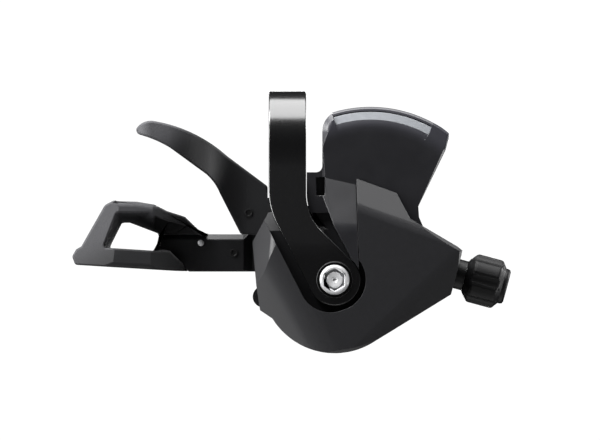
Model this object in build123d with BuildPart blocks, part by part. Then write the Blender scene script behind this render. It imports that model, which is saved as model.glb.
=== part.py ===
from build123d import *
from math import acos, atan2, cos, degrees, hypot, radians, sin, tan
import os

# Trigger gear shifter for a flat handlebar, in millimetres.
# Origin: centre of the handlebar clamp. X runs along the bar towards the cable exit, Z is up,
# and Y points back from the front cover. The mechanism turns on one axle along Y.

# Handlebar clamp
bar_radius = 11.1
band_wall = 3.5
band_width = 10.4
leg_slit = 1.0
rear_leg_wall = 2.5
eye_radius = 7.2
eye_face_y = -21.4
leg_bend_z = -4.0
leg_flat_z = -30.0
slit_bend_z = -7.0
slit_flat_z = -26.0
rear_bend_z = -11.4
rear_flat_z = -24.0
leg_left_touch = 207.0
leg_right_touch = 45.0
leg_left_bend = 20.0
leg_right_bend = 14.0
leg_front_bend = 20.0
leg_back_bend = 4.0

# Clamp bolt
bolt_radius = 2.5
bolt_clearance = 0.25
bolt_head_radius = 4.15
bolt_head_height = 2.7
bolt_head_sink = 1.7
bolt_head_gap = 0.7
bolt_socket_width = 4.0
bolt_socket_depth = 1.9

# Main axle: all lever and cover outlines are drawn around it
axle_x = 13.1
axle_z = -38.0
axle_radius = 4.0
running_clearance = 0.05

# Stack along the axle, from front to back
seat_gap = 0.2
floor_wall = 1.5
plate_wall = 1.4
spring_layer = 1.8
arm_wall = 2.0
layer_gap = 0.3
ratchet_wall = 1.8
drum_width = 4.8
release_wall = 1.8
washer_wall = 0.8
nut_height = 2.3

rear_eye_back_y = eye_face_y + band_wall + leg_slit + rear_leg_wall
floor_front_y = rear_eye_back_y + seat_gap
plate_front_y = floor_front_y + floor_wall
plate_back_y = plate_front_y + plate_wall
release_front_y = plate_back_y + spring_layer
release_back_y = release_front_y + release_wall
arm_front_y = release_back_y + spring_layer
arm_back_y = arm_front_y + arm_wall
feed_front_y = arm_back_y + layer_gap
drum_front_y = feed_front_y + ratchet_wall
drum_back_y = drum_front_y + drum_width
hold_back_y = drum_back_y + ratchet_wall
washer_front_y = hold_back_y + layer_gap
nut_front_y = washer_front_y + washer_wall
nut_back_y = nut_front_y + nut_height
cable_y = (drum_front_y + drum_back_y) / 2

# Ratchet: the teeth and the pawls beside them set how far the covers stand off the axle
tooth_tip_radius = 13.6
tooth_height = 1.6
pawl_nose_gap = 0.4
pawl_hub_radius = 1.9
pawl_pin_reach = tooth_tip_radius + pawl_nose_gap + pawl_hub_radius
pawl_room = 0.8

# Covers
cover_face_y = -23.2
cover_wall = 1.8
cover_radius = pawl_pin_reach + pawl_hub_radius + pawl_room + cover_wall
parting_y = arm_front_y - layer_gap
rear_face_y = nut_back_y + layer_gap + cover_wall
fit_gap = 0.15

# Cable run: leaves the spool at its pitch radius and points down to the right
spool_pitch_radius = 10.4
cable_angle = 15.0


def body_plane(y):
    """Front-view plane at depth y, with its origin on the axle and its normal to the front."""
    return Plane(origin=(axle_x, y, axle_z), x_dir=(1, 0, 0), z_dir=(0, -1, 0))


def cable_plane(distance):
    """Plane square to the cable run, at a distance along it from the point beside the axle."""
    turn = radians(cable_angle)
    run = Vector(cos(turn), 0, -sin(turn))
    foot = Vector(axle_x, cable_y, axle_z) + Vector(sin(turn), 0, cos(turn)) * spool_pitch_radius
    return Plane(origin=foot + run * distance, x_dir=(0, 1, 0), z_dir=run)


def polar(radius, angle):
    """Point of a front-view sketch at an angle in degrees, counted from +X towards +Z."""
    return (radius * cos(radians(angle)), radius * sin(radians(angle)))


def slope(first, second, third):
    """Plane through three points given as front-view place and depth, facing the front."""
    points = [Vector(axle_x + u, y, axle_z + v) for u, v, y in (first, second, third)]
    normal = (points[1] - points[0]).cross(points[2] - points[0])
    forward = normal if normal.Y < 0 else -normal
    return Plane(origin=points[0], x_dir=points[1] - points[0], z_dir=forward)


def soft_facet(first, second, outer, bend):
    """Cutter that leaves the front face in an arc along a line through two places, and then falls
    straight through an outer place, which is given with its depth."""
    along = Vector(second[0] - first[0], 0, second[1] - first[1]).normalized()
    across = along.cross(Vector(0, 1, 0))
    reach = Vector(outer[0] - first[0], 0, outer[1] - first[1]).dot(across)
    if reach < 0:
        across, reach = -across, -reach
    fall = atan2(outer[2] - cover_face_y, reach)
    ease = bend * tan(fall / 2)
    far = 5 * cover_radius
    start = Vector(axle_x + first[0], cover_face_y, axle_z + first[1])
    with BuildPart() as cutter:
        with BuildSketch(Plane(origin=start, x_dir=across, z_dir=across.cross(Vector(0, 1, 0)))):
            with BuildLine():
                TangentArc((-ease, 0), (ease * cos(fall), ease * sin(fall)), tangent=(1, 0))
                Polyline(
                    (ease * cos(fall), ease * sin(fall)),
                    (far * cos(fall), far * sin(fall)),
                    (far * cos(fall), -far),
                    (-ease, -far),
                    (-ease, 0),
                )
            make_face()
        extrude(amount=far, both=True)
    return cutter.part


os.makedirs("parts", exist_ok=True)

# Clamp band: the side profile is a ring with a slit between two legs, and the front outline
# leads both legs sideways to the eye on the axle.
ring_radius = bar_radius + band_wall
leg_stack = band_wall + leg_slit + rear_leg_wall
leg_end_z = axle_z - eye_radius - 2
leg_left = -axle_x - band_width / 2
leg_right = -axle_x + band_width / 2
leg_top = leg_bend_z - axle_z + 1


def leg_corner(side, touch):
    """Corner between an upright side of the legs and the line that touches the eye at an angle."""
    return (side, (eye_radius - side * cos(radians(touch))) / sin(radians(touch)))


def leg_sketch():
    """Front outline of the legs: upright sides that bend over and run on to touch the eye."""
    left_corner = leg_corner(leg_left, leg_left_touch)
    right_corner = leg_corner(leg_right, leg_right_touch)
    with BuildSketch() as legs:
        with BuildLine():
            Polyline(
                (leg_left, leg_top),
                left_corner,
                polar(eye_radius, leg_left_touch),
                polar(eye_radius, leg_right_touch),
                right_corner,
                (leg_right, leg_top),
                close=True,
            )
        make_face()
        fillet(legs.vertices().sort_by_distance(left_corner)[0], radius=leg_left_bend)
        fillet(legs.vertices().sort_by_distance(right_corner)[0], radius=leg_right_bend)
        Circle(eye_radius)
    return legs.sketch


with BuildPart() as clamp_band:
    with BuildSketch(Plane.YZ.offset(-band_width / 2)):
        Circle(ring_radius)
        with BuildLine():
            Polyline(
                (-ring_radius, 0),
                (-ring_radius, leg_bend_z),
                (eye_face_y, leg_flat_z),
                (eye_face_y, leg_end_z),
                (eye_face_y + leg_stack, leg_end_z),
                (eye_face_y + leg_stack, rear_flat_z),
                (-ring_radius + leg_stack, rear_bend_z),
                (-ring_radius + leg_stack, 0),
                close=True,
            )
        make_face()
        Circle(bar_radius, mode=Mode.SUBTRACT)
        with BuildLine():
            Polyline(
                (-bar_radius, 0),
                (-bar_radius, slit_bend_z),
                (eye_face_y + band_wall, slit_flat_z),
                (eye_face_y + band_wall, leg_end_z),
                (eye_face_y + band_wall + leg_slit, leg_end_z),
                (eye_face_y + band_wall + leg_slit, slit_flat_z),
                (-bar_radius + leg_slit, slit_bend_z),
                (-bar_radius + leg_slit, 0),
                close=True,
            )
        make_face(mode=Mode.SUBTRACT)
    extrude(amount=axle_x + eye_radius + band_width)
    for bend_radius, heights in (
        (leg_front_bend, (leg_bend_z, leg_flat_z)),
        (leg_back_bend, (slit_bend_z, slit_flat_z, rear_bend_z, rear_flat_z)),
    ):
        bends = clamp_band.edges().filter_by(Axis.X).filter_by(
            lambda edge: min(abs(edge.center().Z - height) for height in heights) < 0.1
        )
        fillet(bends, radius=bend_radius)
    with BuildSketch(body_plane(-2 * ring_radius)):
        with Locations((-axle_x, leg_bend_z - axle_z)):
            Rectangle(band_width, ring_radius - leg_bend_z, align=(Align.CENTER, Align.MIN))
        add(leg_sketch())
    extrude(amount=-4 * ring_radius, mode=Mode.INTERSECT)
    with BuildSketch(body_plane(eye_face_y)):
        Circle(bolt_radius + bolt_clearance)
    extrude(amount=-leg_stack, mode=Mode.SUBTRACT)
    with BuildSketch(body_plane(eye_face_y)):
        Circle(bolt_head_radius + bolt_head_gap)
    extrude(amount=-bolt_head_sink, mode=Mode.SUBTRACT)
clamp_band.part.label = "clamp_band"
export_step(clamp_band.part, "parts/clamp_band.step")

# Clamp bolt: socket head sunk in the front eye, shank through both eyes into the axle.
bolt_seat_y = eye_face_y + bolt_head_sink
bolt_length = 16.0
bolt_edge = 0.5

with BuildPart() as clamp_bolt:
    with BuildSketch(body_plane(bolt_seat_y)):
        Circle(bolt_head_radius)
    extrude(amount=bolt_head_height)
    chamfer(clamp_bolt.edges().group_by(Axis.Y)[0], length=bolt_edge)
    with BuildSketch(body_plane(bolt_seat_y)):
        Circle(bolt_radius)
    extrude(amount=-bolt_length)
    with BuildSketch(body_plane(bolt_seat_y - bolt_head_height)):
        RegularPolygon(bolt_socket_width / 2, 6, major_radius=False, rotation=15)
    extrude(amount=-bolt_socket_depth, mode=Mode.SUBTRACT)
clamp_bolt.part.label = "clamp_bolt"
export_step(clamp_bolt.part, "parts/clamp_bolt.step")

# Main axle: turned steel, tapped for the clamp bolt, with a collar behind the base plate and a
# thinner threaded end for the nut.
collar_radius = 5.2
thread_radius = 3.0
fixed_clearance = 0.02
tapped_length = bolt_length + 1.0

with BuildPart() as main_axle:
    with BuildSketch(body_plane(rear_eye_back_y)):
        Circle(axle_radius)
    extrude(amount=rear_eye_back_y - washer_front_y)
    with BuildSketch(body_plane(washer_front_y)):
        Circle(thread_radius)
    extrude(amount=washer_front_y - nut_back_y)
    with BuildSketch(body_plane(plate_back_y)):
        Circle(collar_radius)
    extrude(amount=plate_back_y - release_front_y + layer_gap / 2)
    with BuildSketch(body_plane(bolt_seat_y)):
        Circle(bolt_radius + running_clearance)
    extrude(amount=-tapped_length, mode=Mode.SUBTRACT)
main_axle.part.label = "main_axle"
export_step(main_axle.part, "parts/main_axle.step")

# Washer and nut that close the stack at the back.
washer_radius = 6.5
nut_width = 8.0

with BuildPart() as axle_washer:
    with BuildSketch(body_plane(nut_front_y)):
        Circle(washer_radius)
        Circle(thread_radius + fixed_clearance, mode=Mode.SUBTRACT)
    extrude(amount=washer_wall)
axle_washer.part.label = "axle_washer"
export_step(axle_washer.part, "parts/axle_washer.step")

with BuildPart() as axle_nut:
    with BuildSketch(body_plane(nut_back_y)):
        RegularPolygon(nut_width / 2, 6, major_radius=False)
        Circle(thread_radius + fixed_clearance, mode=Mode.SUBTRACT)
    extrude(amount=nut_height)
axle_nut.part.label = "axle_nut"
export_step(axle_nut.part, "parts/axle_nut.step")

# Pawl and indicator places around the axle.
pawl_pin_radius = 1.2
hold_pin_place = polar(pawl_pin_reach, -35)
feed_pin_place = polar(pawl_pin_reach, 160)
needle_place = (10.0, 11.4)
spindle_radius = 1.0

# Base plate: pressed steel disc that carries the axle, the holding pawl's pin and the spindle.
plate_gap = 1.2
plate_radius = cover_radius - cover_wall - plate_gap
plate_flat = rear_flat_z - axle_z - plate_wall

with BuildPart() as base_plate:
    with BuildSketch(body_plane(plate_back_y)):
        Circle(plate_radius)
        with Locations((0, plate_flat)):
            Rectangle(2 * plate_radius, plate_radius, align=(Align.CENTER, Align.MIN), mode=Mode.SUBTRACT)
        Circle(axle_radius + fixed_clearance, mode=Mode.SUBTRACT)
        with Locations(hold_pin_place):
            Circle(pawl_pin_radius + fixed_clearance, mode=Mode.SUBTRACT)
        with Locations(needle_place):
            Circle(spindle_radius + running_clearance, mode=Mode.SUBTRACT)
    extrude(amount=plate_wall)
base_plate.part.label = "base_plate"
export_step(base_plate.part, "parts/base_plate.step")

# Cable spool: drum with the cable groove between two toothed flanges. A spiral groove in the
# front face leads the indicator's peg, so it is worked out from the peg's own path.
gear_steps = 9
spool_turn = 168.0
tooth_step = spool_turn / gear_steps
tooth_count = 12
tooth_root_radius = tooth_tip_radius - tooth_height
tooth_start = 132.0
drum_radius = 11.4
cable_groove_radius = 0.8
spring_room_inner = 5.4
spring_room_outer = 8.6
spring_room_floor = 1.0
needle_turn = 42.0
peg_arm = 7.0
peg_rest_angle = 272.0
peg_radius = 0.6
peg_gap = 0.25
peg_depth = 1.0
spiral_shares = [-0.08, 0.25, 0.5, 0.8, 1.08]


def peg_in_spool(share):
    """Place of the indicator's peg, seen from the spool, at a share of the spool's turn."""
    needle = radians(peg_rest_angle - needle_turn * share)
    x = needle_place[0] + peg_arm * cos(needle)
    z = needle_place[1] + peg_arm * sin(needle)
    back = -radians(spool_turn * share)
    return (x * cos(back) - z * sin(back), x * sin(back) + z * cos(back))


spiral_path = [peg_in_spool(share) for share in spiral_shares]

with BuildPart() as cable_spool:
    for flange_back_y in (drum_front_y, hold_back_y):
        with BuildSketch(body_plane(flange_back_y)):
            Circle(tooth_root_radius)
            for tooth in range(tooth_count):
                tooth_angle = tooth_start + tooth * tooth_step
                with BuildLine():
                    Polyline(
                        polar(tooth_root_radius - 1, tooth_angle),
                        polar(tooth_tip_radius, tooth_angle),
                        polar(tooth_tip_radius, tooth_angle + tooth_step * 0.2),
                        polar(tooth_root_radius - 0.2, tooth_angle + tooth_step * 0.8),
                        close=True,
                    )
                make_face()
        extrude(amount=ratchet_wall)
    with BuildSketch(body_plane(drum_back_y)):
        Circle(drum_radius)
    extrude(amount=drum_width)
    with BuildSketch(Plane(origin=(axle_x, cable_y, axle_z), x_dir=(1, 0, 0), z_dir=(0, 0, 1))):
        with BuildLine():
            Polyline(
                (spool_pitch_radius - cable_groove_radius, -cable_groove_radius / 2),
                (spool_pitch_radius - cable_groove_radius, cable_groove_radius / 2),
                (tooth_root_radius, 2 * cable_groove_radius),
                (tooth_root_radius, -2 * cable_groove_radius),
                close=True,
            )
        make_face()
    revolve(axis=Axis((axle_x, 0, axle_z), (0, 1, 0)), mode=Mode.SUBTRACT)
    with BuildSketch(body_plane(hold_back_y)):
        Circle(axle_radius + running_clearance)
    extrude(amount=hold_back_y - feed_front_y, mode=Mode.SUBTRACT)
    with BuildSketch(body_plane(hold_back_y)):
        Circle(spring_room_outer)
        Circle(spring_room_inner, mode=Mode.SUBTRACT)
    extrude(amount=hold_back_y - drum_front_y - spring_room_floor, mode=Mode.SUBTRACT)
    with BuildSketch(body_plane(feed_front_y + peg_depth)):
        with BuildLine():
            ThreePointArc(*spiral_path[0:3])
            ThreePointArc(*spiral_path[2:5])
        trace(line_width=2 * (peg_radius + peg_gap))
    extrude(amount=peg_depth, mode=Mode.SUBTRACT)
cable_spool.part.label = "cable_spool"
export_step(cable_spool.part, "parts/cable_spool.step")

# Thumb lever: a pressed steel arm with a hub on the axle, and a moulded paddle set on its end.
thumb_hub_radius = 6.8
arm_top = 12.6
arm_bottom = 2.2
arm_root = -22.0
arm_end = -48.6
arm_corner = 2.0

with BuildPart() as thumb_arm:
    with BuildSketch(body_plane(arm_back_y)) as arm_outline:
        with BuildLine():
            Polyline(
                (0, thumb_hub_radius),
                (arm_root, arm_top),
                (arm_end, arm_top),
                (arm_end, arm_top - 4),
                (arm_end + 8, arm_bottom),
                (arm_root, arm_bottom),
                (0, -thumb_hub_radius),
                close=True,
            )
        make_face()
        fillet(arm_outline.vertices().group_by(Axis.X)[0], radius=arm_corner / 2)
        Circle(thumb_hub_radius)
        Circle(axle_radius + running_clearance, mode=Mode.SUBTRACT)
        with Locations(feed_pin_place):
            Circle(pawl_pin_radius + fixed_clearance, mode=Mode.SUBTRACT)
    extrude(amount=arm_wall)
thumb_arm.part.label = "thumb_arm"
export_step(thumb_arm.part, "parts/thumb_arm.step")

# The paddle is a deep frame: its opening narrows towards the back, and the arm lies in a slot
# behind it.
paddle_face_y = -16.0
paddle_edge = 1.0
hole_back = [(-62.9, 8.4), (-59.2, 15.7), (-57.2, 15.7), (-49.3, 12.7), (-48.9, 11.2), (-50.7, 7.9)]
hole_front = [(-64.6, 9.0), (-60.7, 18.7), (-51.2, 18.7), (-47.5, 16.5), (-47.3, 12.0), (-47.5, 7.9)]
hole_corner = 0.7
paddle_tip_slope = slope((-62.0, 0, paddle_face_y), (-60.0, 20.0, paddle_face_y), (-73.0, 0, -11.5))
paddle_root_slope = slope((-51.5, 0, paddle_face_y), (-50.5, 20.0, paddle_face_y), (-37.0, 0, -8.0))

with BuildPart() as thumb_paddle:
    with BuildSketch(body_plane(arm_back_y)) as paddle_outline:
        with BuildLine():
            Polyline(
                (-72.2, 4.1),
                (-73.1, 6.4),
                (-72.0, 8.4),
                (-70.5, 9.25),
                (-63.9, 20.8),
                (-61.7, 21.9),
                (-55.0, 21.7),
                (-50.2, 20.9),
                (-46.7, 19.1),
                (-41.7, 17.5),
                (-36.9, 12.9),
                (-35.2, arm_top),
                (-37.5, arm_bottom),
                (-44.0, arm_bottom + 0.2),
                close=True,
            )
        make_face()
        fillet(paddle_outline.vertices().group_by(Axis.X)[0], radius=1.2)
        fillet(paddle_outline.vertices().sort_by_distance((-63.9, 20.8))[0], radius=2.5)
    extrude(amount=arm_back_y - paddle_face_y)
    chamfer(thumb_paddle.faces().sort_by(Axis.Y)[0].edges(), length=paddle_edge)
    split(bisect_by=paddle_tip_slope, keep=Keep.BOTTOM)
    split(bisect_by=paddle_root_slope, keep=Keep.BOTTOM)
    for depth, corners in ((arm_back_y + 0.01, hole_back), (paddle_face_y - 0.01, hole_front)):
        with BuildSketch(body_plane(depth)) as hole:
            with BuildLine():
                Polyline(*corners, close=True)
            make_face()
            fillet(hole.vertices(), radius=hole_corner)
    loft(ruled=True, mode=Mode.SUBTRACT)
    with BuildSketch(body_plane(arm_front_y)):
        with BuildLine():
            Polyline(
                (-50.0, 17.6),
                (-46.3, 16.2),
                (-40.8, 14.8),
                (-38.0, 12.4),
                (-41.0, 5.2),
                (-45.5, 8.0),
                (-50.2, 8.4),
                close=True,
            )
        make_face()
    extrude(amount=arm_front_y - paddle_face_y + paddle_edge, mode=Mode.SUBTRACT)
    with BuildSketch(body_plane(arm_back_y)):
        add(arm_outline.sketch_local)
    extrude(amount=arm_wall, mode=Mode.SUBTRACT)
thumb_paddle.part.label = "thumb_paddle"
export_step(thumb_paddle.part, "parts/thumb_paddle.step")

# Release lever: one plate with its hub on the axle. It leaves the covers, bends forward past the
# handlebar and widens into a curved finger pad.
release_hub_radius = 7.6
pad_front_y = -25.0
pad_back_y = -15.5
lever_bend_start = -24.0
lever_bend_end = -46.0
front_bend_middle = ((lever_bend_start + lever_bend_end) / 2, (release_front_y + pad_front_y) / 2)
back_bend_middle = ((lever_bend_start + lever_bend_end) / 2, (release_back_y + pad_back_y) / 2)
pad_round_start = -51.0
pad_round_end = -55.6

with BuildPart() as release_lever:
    with BuildSketch(body_plane(release_back_y)):
        with BuildLine():
            Line((-54.6, 40.4), (-55.2, 41.7))
            ThreePointArc((-55.2, 41.7), (-53.2, 43.6), (-50.0, 44.05))
            ThreePointArc((-50.0, 44.05), (-40.0, 41.0), (-30.0, 34.5))
            Polyline(
                (-30.0, 34.5),
                (leg_left - layer_gap, 26.0),
                (leg_left - layer_gap, 22.8),
                (-14.0, 22.0),
                (0, release_hub_radius),
                (0, -release_hub_radius),
                (-22.0, 12.4),
                (-26.1, 12.6),
                (-31.9, 24.0),
            )
            ThreePointArc((-31.9, 24.0), (-33.4, 26.8), (-35.6, 29.3))
            Line((-35.6, 29.3), (-45.6, 36.6))
            ThreePointArc((-45.6, 36.6), (-49.4, 38.6), (-54.6, 40.4))
        make_face()
        Circle(release_hub_radius)
        Circle(axle_radius + running_clearance, mode=Mode.SUBTRACT)
    extrude(amount=release_back_y - pad_front_y)
    with BuildSketch(Plane(origin=(axle_x, 0, axle_z), x_dir=(1, 0, 0), z_dir=(0, 0, 1))):
        with BuildLine():
            Polyline(
                (lever_bend_start, release_front_y),
                (release_hub_radius + 1, release_front_y),
                (release_hub_radius + 1, release_back_y),
                (lever_bend_start, release_back_y),
            )
            TangentArc((lever_bend_start, release_back_y), back_bend_middle, tangent=(-1, 0))
            TangentArc((lever_bend_end, pad_back_y), back_bend_middle, tangent=(1, 0))
            Line((lever_bend_end, pad_back_y), (pad_round_start, pad_back_y))
            ThreePointArc(
                (pad_round_start, pad_back_y),
                (pad_round_end, (pad_front_y + pad_back_y) / 2),
                (pad_round_start, pad_front_y),
            )
            Line((pad_round_start, pad_front_y), (lever_bend_end, pad_front_y))
            TangentArc((lever_bend_end, pad_front_y), front_bend_middle, tangent=(1, 0))
            TangentArc((lever_bend_start, release_front_y), front_bend_middle, tangent=(-1, 0))
        make_face()
    extrude(amount=60, both=True, mode=Mode.INTERSECT)
release_lever.part.label = "release_lever"
export_step(release_lever.part, "parts/release_lever.step")

# Pawls: each stands just clear of the tooth tips and lifts away from them on its pin.
pawl_nose_width = 1.1
pawl_reach = 30.0
pin_head = 0.6


def pawl_points(pin_place, reach):
    """Pawl outline from its pin round to a nose that lies a set angle further along the teeth."""
    nose = tooth_tip_radius + pawl_nose_gap
    pin_angle = degrees(atan2(pin_place[1], pin_place[0]))
    return [
        polar(hypot(*pin_place) - pawl_hub_radius, pin_angle),
        polar(nose + 0.2, pin_angle + reach * 0.6),
        polar(nose, pin_angle + reach),
        polar(nose + pawl_nose_width, pin_angle + reach),
        polar(hypot(*pin_place) + pawl_hub_radius, pin_angle),
    ]


with BuildPart() as feed_pawl:
    with BuildSketch(body_plane(drum_front_y)):
        with BuildLine():
            Polyline(*pawl_points(feed_pin_place, pawl_reach), close=True)
        make_face()
        with Locations(feed_pin_place):
            Circle(pawl_hub_radius)
            Circle(pawl_pin_radius + running_clearance, mode=Mode.SUBTRACT)
    extrude(amount=ratchet_wall)
feed_pawl.part.label = "feed_pawl"
export_step(feed_pawl.part, "parts/feed_pawl.step")

with BuildPart() as feed_pawl_pin:
    with BuildSketch(body_plane(drum_front_y + pin_head)):
        with Locations(feed_pin_place):
            Circle(pawl_pin_radius)
    extrude(amount=drum_front_y + pin_head - arm_front_y)
feed_pawl_pin.part.label = "feed_pawl_pin"
export_step(feed_pawl_pin.part, "parts/feed_pawl_pin.step")

with BuildPart() as hold_pawl:
    with BuildSketch(body_plane(hold_back_y)):
        with BuildLine():
            Polyline(*pawl_points(hold_pin_place, pawl_reach), close=True)
        make_face()
        with Locations(hold_pin_place):
            Circle(pawl_hub_radius)
            Circle(pawl_pin_radius + running_clearance, mode=Mode.SUBTRACT)
    extrude(amount=ratchet_wall)
hold_pawl.part.label = "hold_pawl"
export_step(hold_pawl.part, "parts/hold_pawl.step")

with BuildPart() as hold_pawl_pin:
    with BuildSketch(body_plane(hold_back_y)):
        with Locations(hold_pin_place):
            Circle(pawl_pin_radius)
    extrude(amount=hold_back_y - plate_front_y)
hold_pawl_pin.part.label = "hold_pawl_pin"
export_step(hold_pawl_pin.part, "parts/hold_pawl_pin.step")


def leg_space(gap, back_gap):
    """Room round the band's legs: their front outline and their back, both grown by a gap."""
    back_y = rear_eye_back_y + back_gap
    with BuildPart() as space:
        with BuildSketch(Plane.YZ.offset(-ring_radius)):
            with BuildLine():
                Polyline(
                    (2 * cover_face_y, ring_radius),
                    (back_y - eye_face_y - ring_radius, ring_radius),
                    (back_y - eye_face_y - ring_radius, rear_bend_z),
                    (back_y, rear_flat_z),
                    (back_y, 2 * axle_z),
                    (2 * cover_face_y, 2 * axle_z),
                    close=True,
                )
            make_face()
        extrude(amount=4 * ring_radius)
        with BuildSketch(body_plane(0)):
            add(leg_sketch())
            offset(amount=gap, kind=Kind.ARC)
        extrude(amount=-2 * cover_face_y, mode=Mode.INTERSECT)
    return space.part


# Indicator: a flat fan in front of the bar, with a tongue that runs down beside the band's leg.
channel_side_gap = 0.15
fan_face_y = -17.8
fan_back_y = -12.0
fan_radius = 36.7
fan_wall = 1.2
fan_low_back_y = -13.0
fan_left = -3.4
fan_edge = 1.6
fan_shoulder = 6.0
rim_depth = 1.2
rim_height = 0.7
lens_radius = fan_radius - rim_height
lens_start = 61.0
lens_end = 107.0
lens_depth = 2.4
lens_wall = 1.2
web_front_y = -16.0
web_top = 29.9
web_low = cover_radius + 0.4
web_lip = 2.2
notch_round = 1.8
slot_top = 28.5
slot_low = 23.4
slot_floor_y = -13.2
back_wall = 1.0

fan_outline_low = [
    (31.8, 39.2),
    (30.8, 35.9),
    (23.3, 20.4),
    (23.5, 17.4),
    (24.8, 14.4),
    (16.0, 7.4),
    (6.6, 7.4),
]
tongue_outline = [
    (fan_left, slot_low),
    (0.0, 14.7),
    (4.6, 6.05),
    (6.2, 2.9),
    (6.7, 2.9),
    (5.9, slot_top),
    (fan_left, slot_top),
]
facet_top = 26.4
facet_low = 14.6
tongue_bend = 8.0


def fan_sketch(gap):
    """Front outline of the indicator's fan, grown by a gap."""
    cx, cz = needle_place
    start = (30.0, cz + (fan_radius**2 - (30.0 - cx) ** 2) ** 0.5)
    end = (fan_left, cz + (fan_radius**2 - (fan_left - cx) ** 2) ** 0.5)
    with BuildSketch() as outline:
        with BuildLine():
            Line((31.8, 40.4), start)
            ThreePointArc(start, (cx, cz + fan_radius), end)
            Polyline(end, (fan_left, 24.0), (6.6, 7.4))
            Polyline((31.8, 40.4), *fan_outline_low)
        make_face()
        fillet(outline.vertices().sort_by_distance(end)[0], radius=fan_shoulder)
        if gap:
            offset(amount=gap, kind=Kind.INTERSECTION)
    return outline.sketch


def lens_sector(inner, outer, margin):
    """Arc band about the needle's pivot, between two radii, longer by a margin at both ends."""
    turn = degrees(margin / outer)
    cx, cz = needle_place
    corners = [
        (cx + r * cos(radians(a)), cz + r * sin(radians(a)))
        for r, a in (
            (inner, lens_start - turn),
            (outer, lens_start - turn),
            (outer, (lens_start + lens_end) / 2),
            (outer, lens_end + turn),
            (inner, lens_end + turn),
            (inner, (lens_start + lens_end) / 2),
        )
    ]
    with BuildSketch() as sector:
        with BuildLine():
            Line(corners[0], corners[1])
            ThreePointArc(corners[1], corners[2], corners[3])
            Line(corners[3], corners[4])
            ThreePointArc(corners[4], corners[5], corners[0])
        make_face()
    return sector.sketch


with BuildPart() as fan_block:
    with BuildSketch(body_plane(fan_back_y)):
        add(fan_sketch(0))
    extrude(amount=fan_back_y - fan_face_y)
    upper_edges = fan_block.faces().sort_by(Axis.Y)[0].edges().filter_by(
        lambda edge: edge.center().Z > axle_z + slot_top and edge.center().X < axle_x + 25
    )
    chamfer(upper_edges, length=fan_edge)

with BuildPart() as indicator_housing:
    with BuildSketch(body_plane(fan_back_y)):
        with BuildLine():
            Polyline(*tongue_outline, close=True)
        make_face()
    extrude(amount=fan_back_y - cover_face_y)
    tongue_facet = soft_facet((0, facet_low), (1, facet_low), (0, facet_top, fan_face_y), tongue_bend)
    add(tongue_facet, mode=Mode.SUBTRACT)
    add(fan_block.part)
    with BuildSketch(body_plane(fan_back_y)):
        with BuildLine():
            Polyline(
                (fan_left, web_top + notch_round),
                (fan_left + notch_round, web_top),
                (fan_left + notch_round, web_low),
                (leg_right, web_low),
                (leg_right, web_top),
                (fan_left - notch_round, web_top),
            )
            RadiusArc((fan_left - notch_round, web_top), (fan_left, web_top + notch_round), -notch_round)
        make_face()
    extrude(amount=fan_back_y - web_front_y)
    with BuildSketch(body_plane(floor_front_y - fit_gap)):
        with BuildLine():
            Polyline(
                (leg_right, web_low),
                (leg_right, web_low - web_lip),
                (fan_left + notch_round, web_low - web_lip),
                (fan_left + notch_round, web_low),
                close=True,
            )
        make_face()
    extrude(amount=floor_front_y - fit_gap - web_front_y)
    with BuildSketch(body_plane(slot_floor_y)):
        with Locations((fan_left - 0.5, slot_low)):
            Rectangle(2.4, slot_top - slot_low, align=(Align.CENTER, Align.MIN))
    extrude(amount=slot_floor_y - cover_face_y, mode=Mode.SUBTRACT)
    with BuildSketch(body_plane(fan_back_y)):
        with Locations((0, 14.4)):
            Rectangle(60, 20, align=(Align.CENTER, Align.MAX))
    extrude(amount=fan_back_y - fan_low_back_y, mode=Mode.SUBTRACT)
    with BuildSketch(body_plane(fan_low_back_y - fan_wall)):
        add(fan_sketch(-fan_wall - 0.3))
    extrude(amount=fan_low_back_y - fan_wall - fan_face_y - fan_wall, mode=Mode.SUBTRACT)
    with BuildSketch(body_plane(fan_back_y)):
        add(fan_sketch(-fan_wall - 0.3))
        with Locations((0, 15.6)):
            Rectangle(90, 60, align=(Align.CENTER, Align.MIN), mode=Mode.INTERSECT)
    extrude(amount=fan_back_y - fan_low_back_y + fan_wall, mode=Mode.SUBTRACT)
    with BuildSketch(body_plane(fan_back_y - rim_depth)):
        add(lens_sector(lens_radius - lens_depth - fit_gap / 2, fan_radius + 2, fit_gap / 2))
    extrude(amount=fan_back_y - rim_depth - fan_face_y, mode=Mode.SUBTRACT)
    with BuildSketch(body_plane(fan_back_y)):
        with Locations(needle_place):
            Circle(spindle_radius + layer_gap)
    extrude(amount=fan_back_y - fan_face_y - fan_wall, mode=Mode.SUBTRACT)
    add(leg_space(channel_side_gap, seat_gap), mode=Mode.SUBTRACT)
indicator_housing.part.label = "indicator_housing"
export_step(indicator_housing.part, "parts/indicator_housing.step")

# Lens: clear strip that closes the top of the fan and folds down over its front.
with BuildPart() as indicator_lens:
    with BuildSketch(body_plane(fan_back_y - rim_depth - fit_gap)):
        add(lens_sector(lens_radius - lens_depth, lens_radius, 0))
    extrude(amount=fan_back_y - rim_depth - fit_gap - fan_face_y)
    front_arcs = indicator_lens.edges().filter_by(GeomType.CIRCLE).sort_by(Axis.Y)[0:2]
    chamfer(front_arcs.sort_by(SortBy.LENGTH)[-1:], length=fan_edge)
    with BuildSketch(body_plane(fan_back_y)):
        add(lens_sector(lens_radius - lens_depth - 1, lens_radius - lens_wall, 1))
    extrude(amount=fan_back_y - fan_face_y - lens_wall, mode=Mode.SUBTRACT)
indicator_lens.part.label = "indicator_lens"
export_step(indicator_lens.part, "parts/indicator_lens.step")

# Back plate of the indicator, set into the fan, and the curved number strip that lies against it.
dial_width = 1.6
dial_wall = 0.6
dial_gap = 1.8
dial_radius = lens_radius - lens_wall - dial_gap

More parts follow.
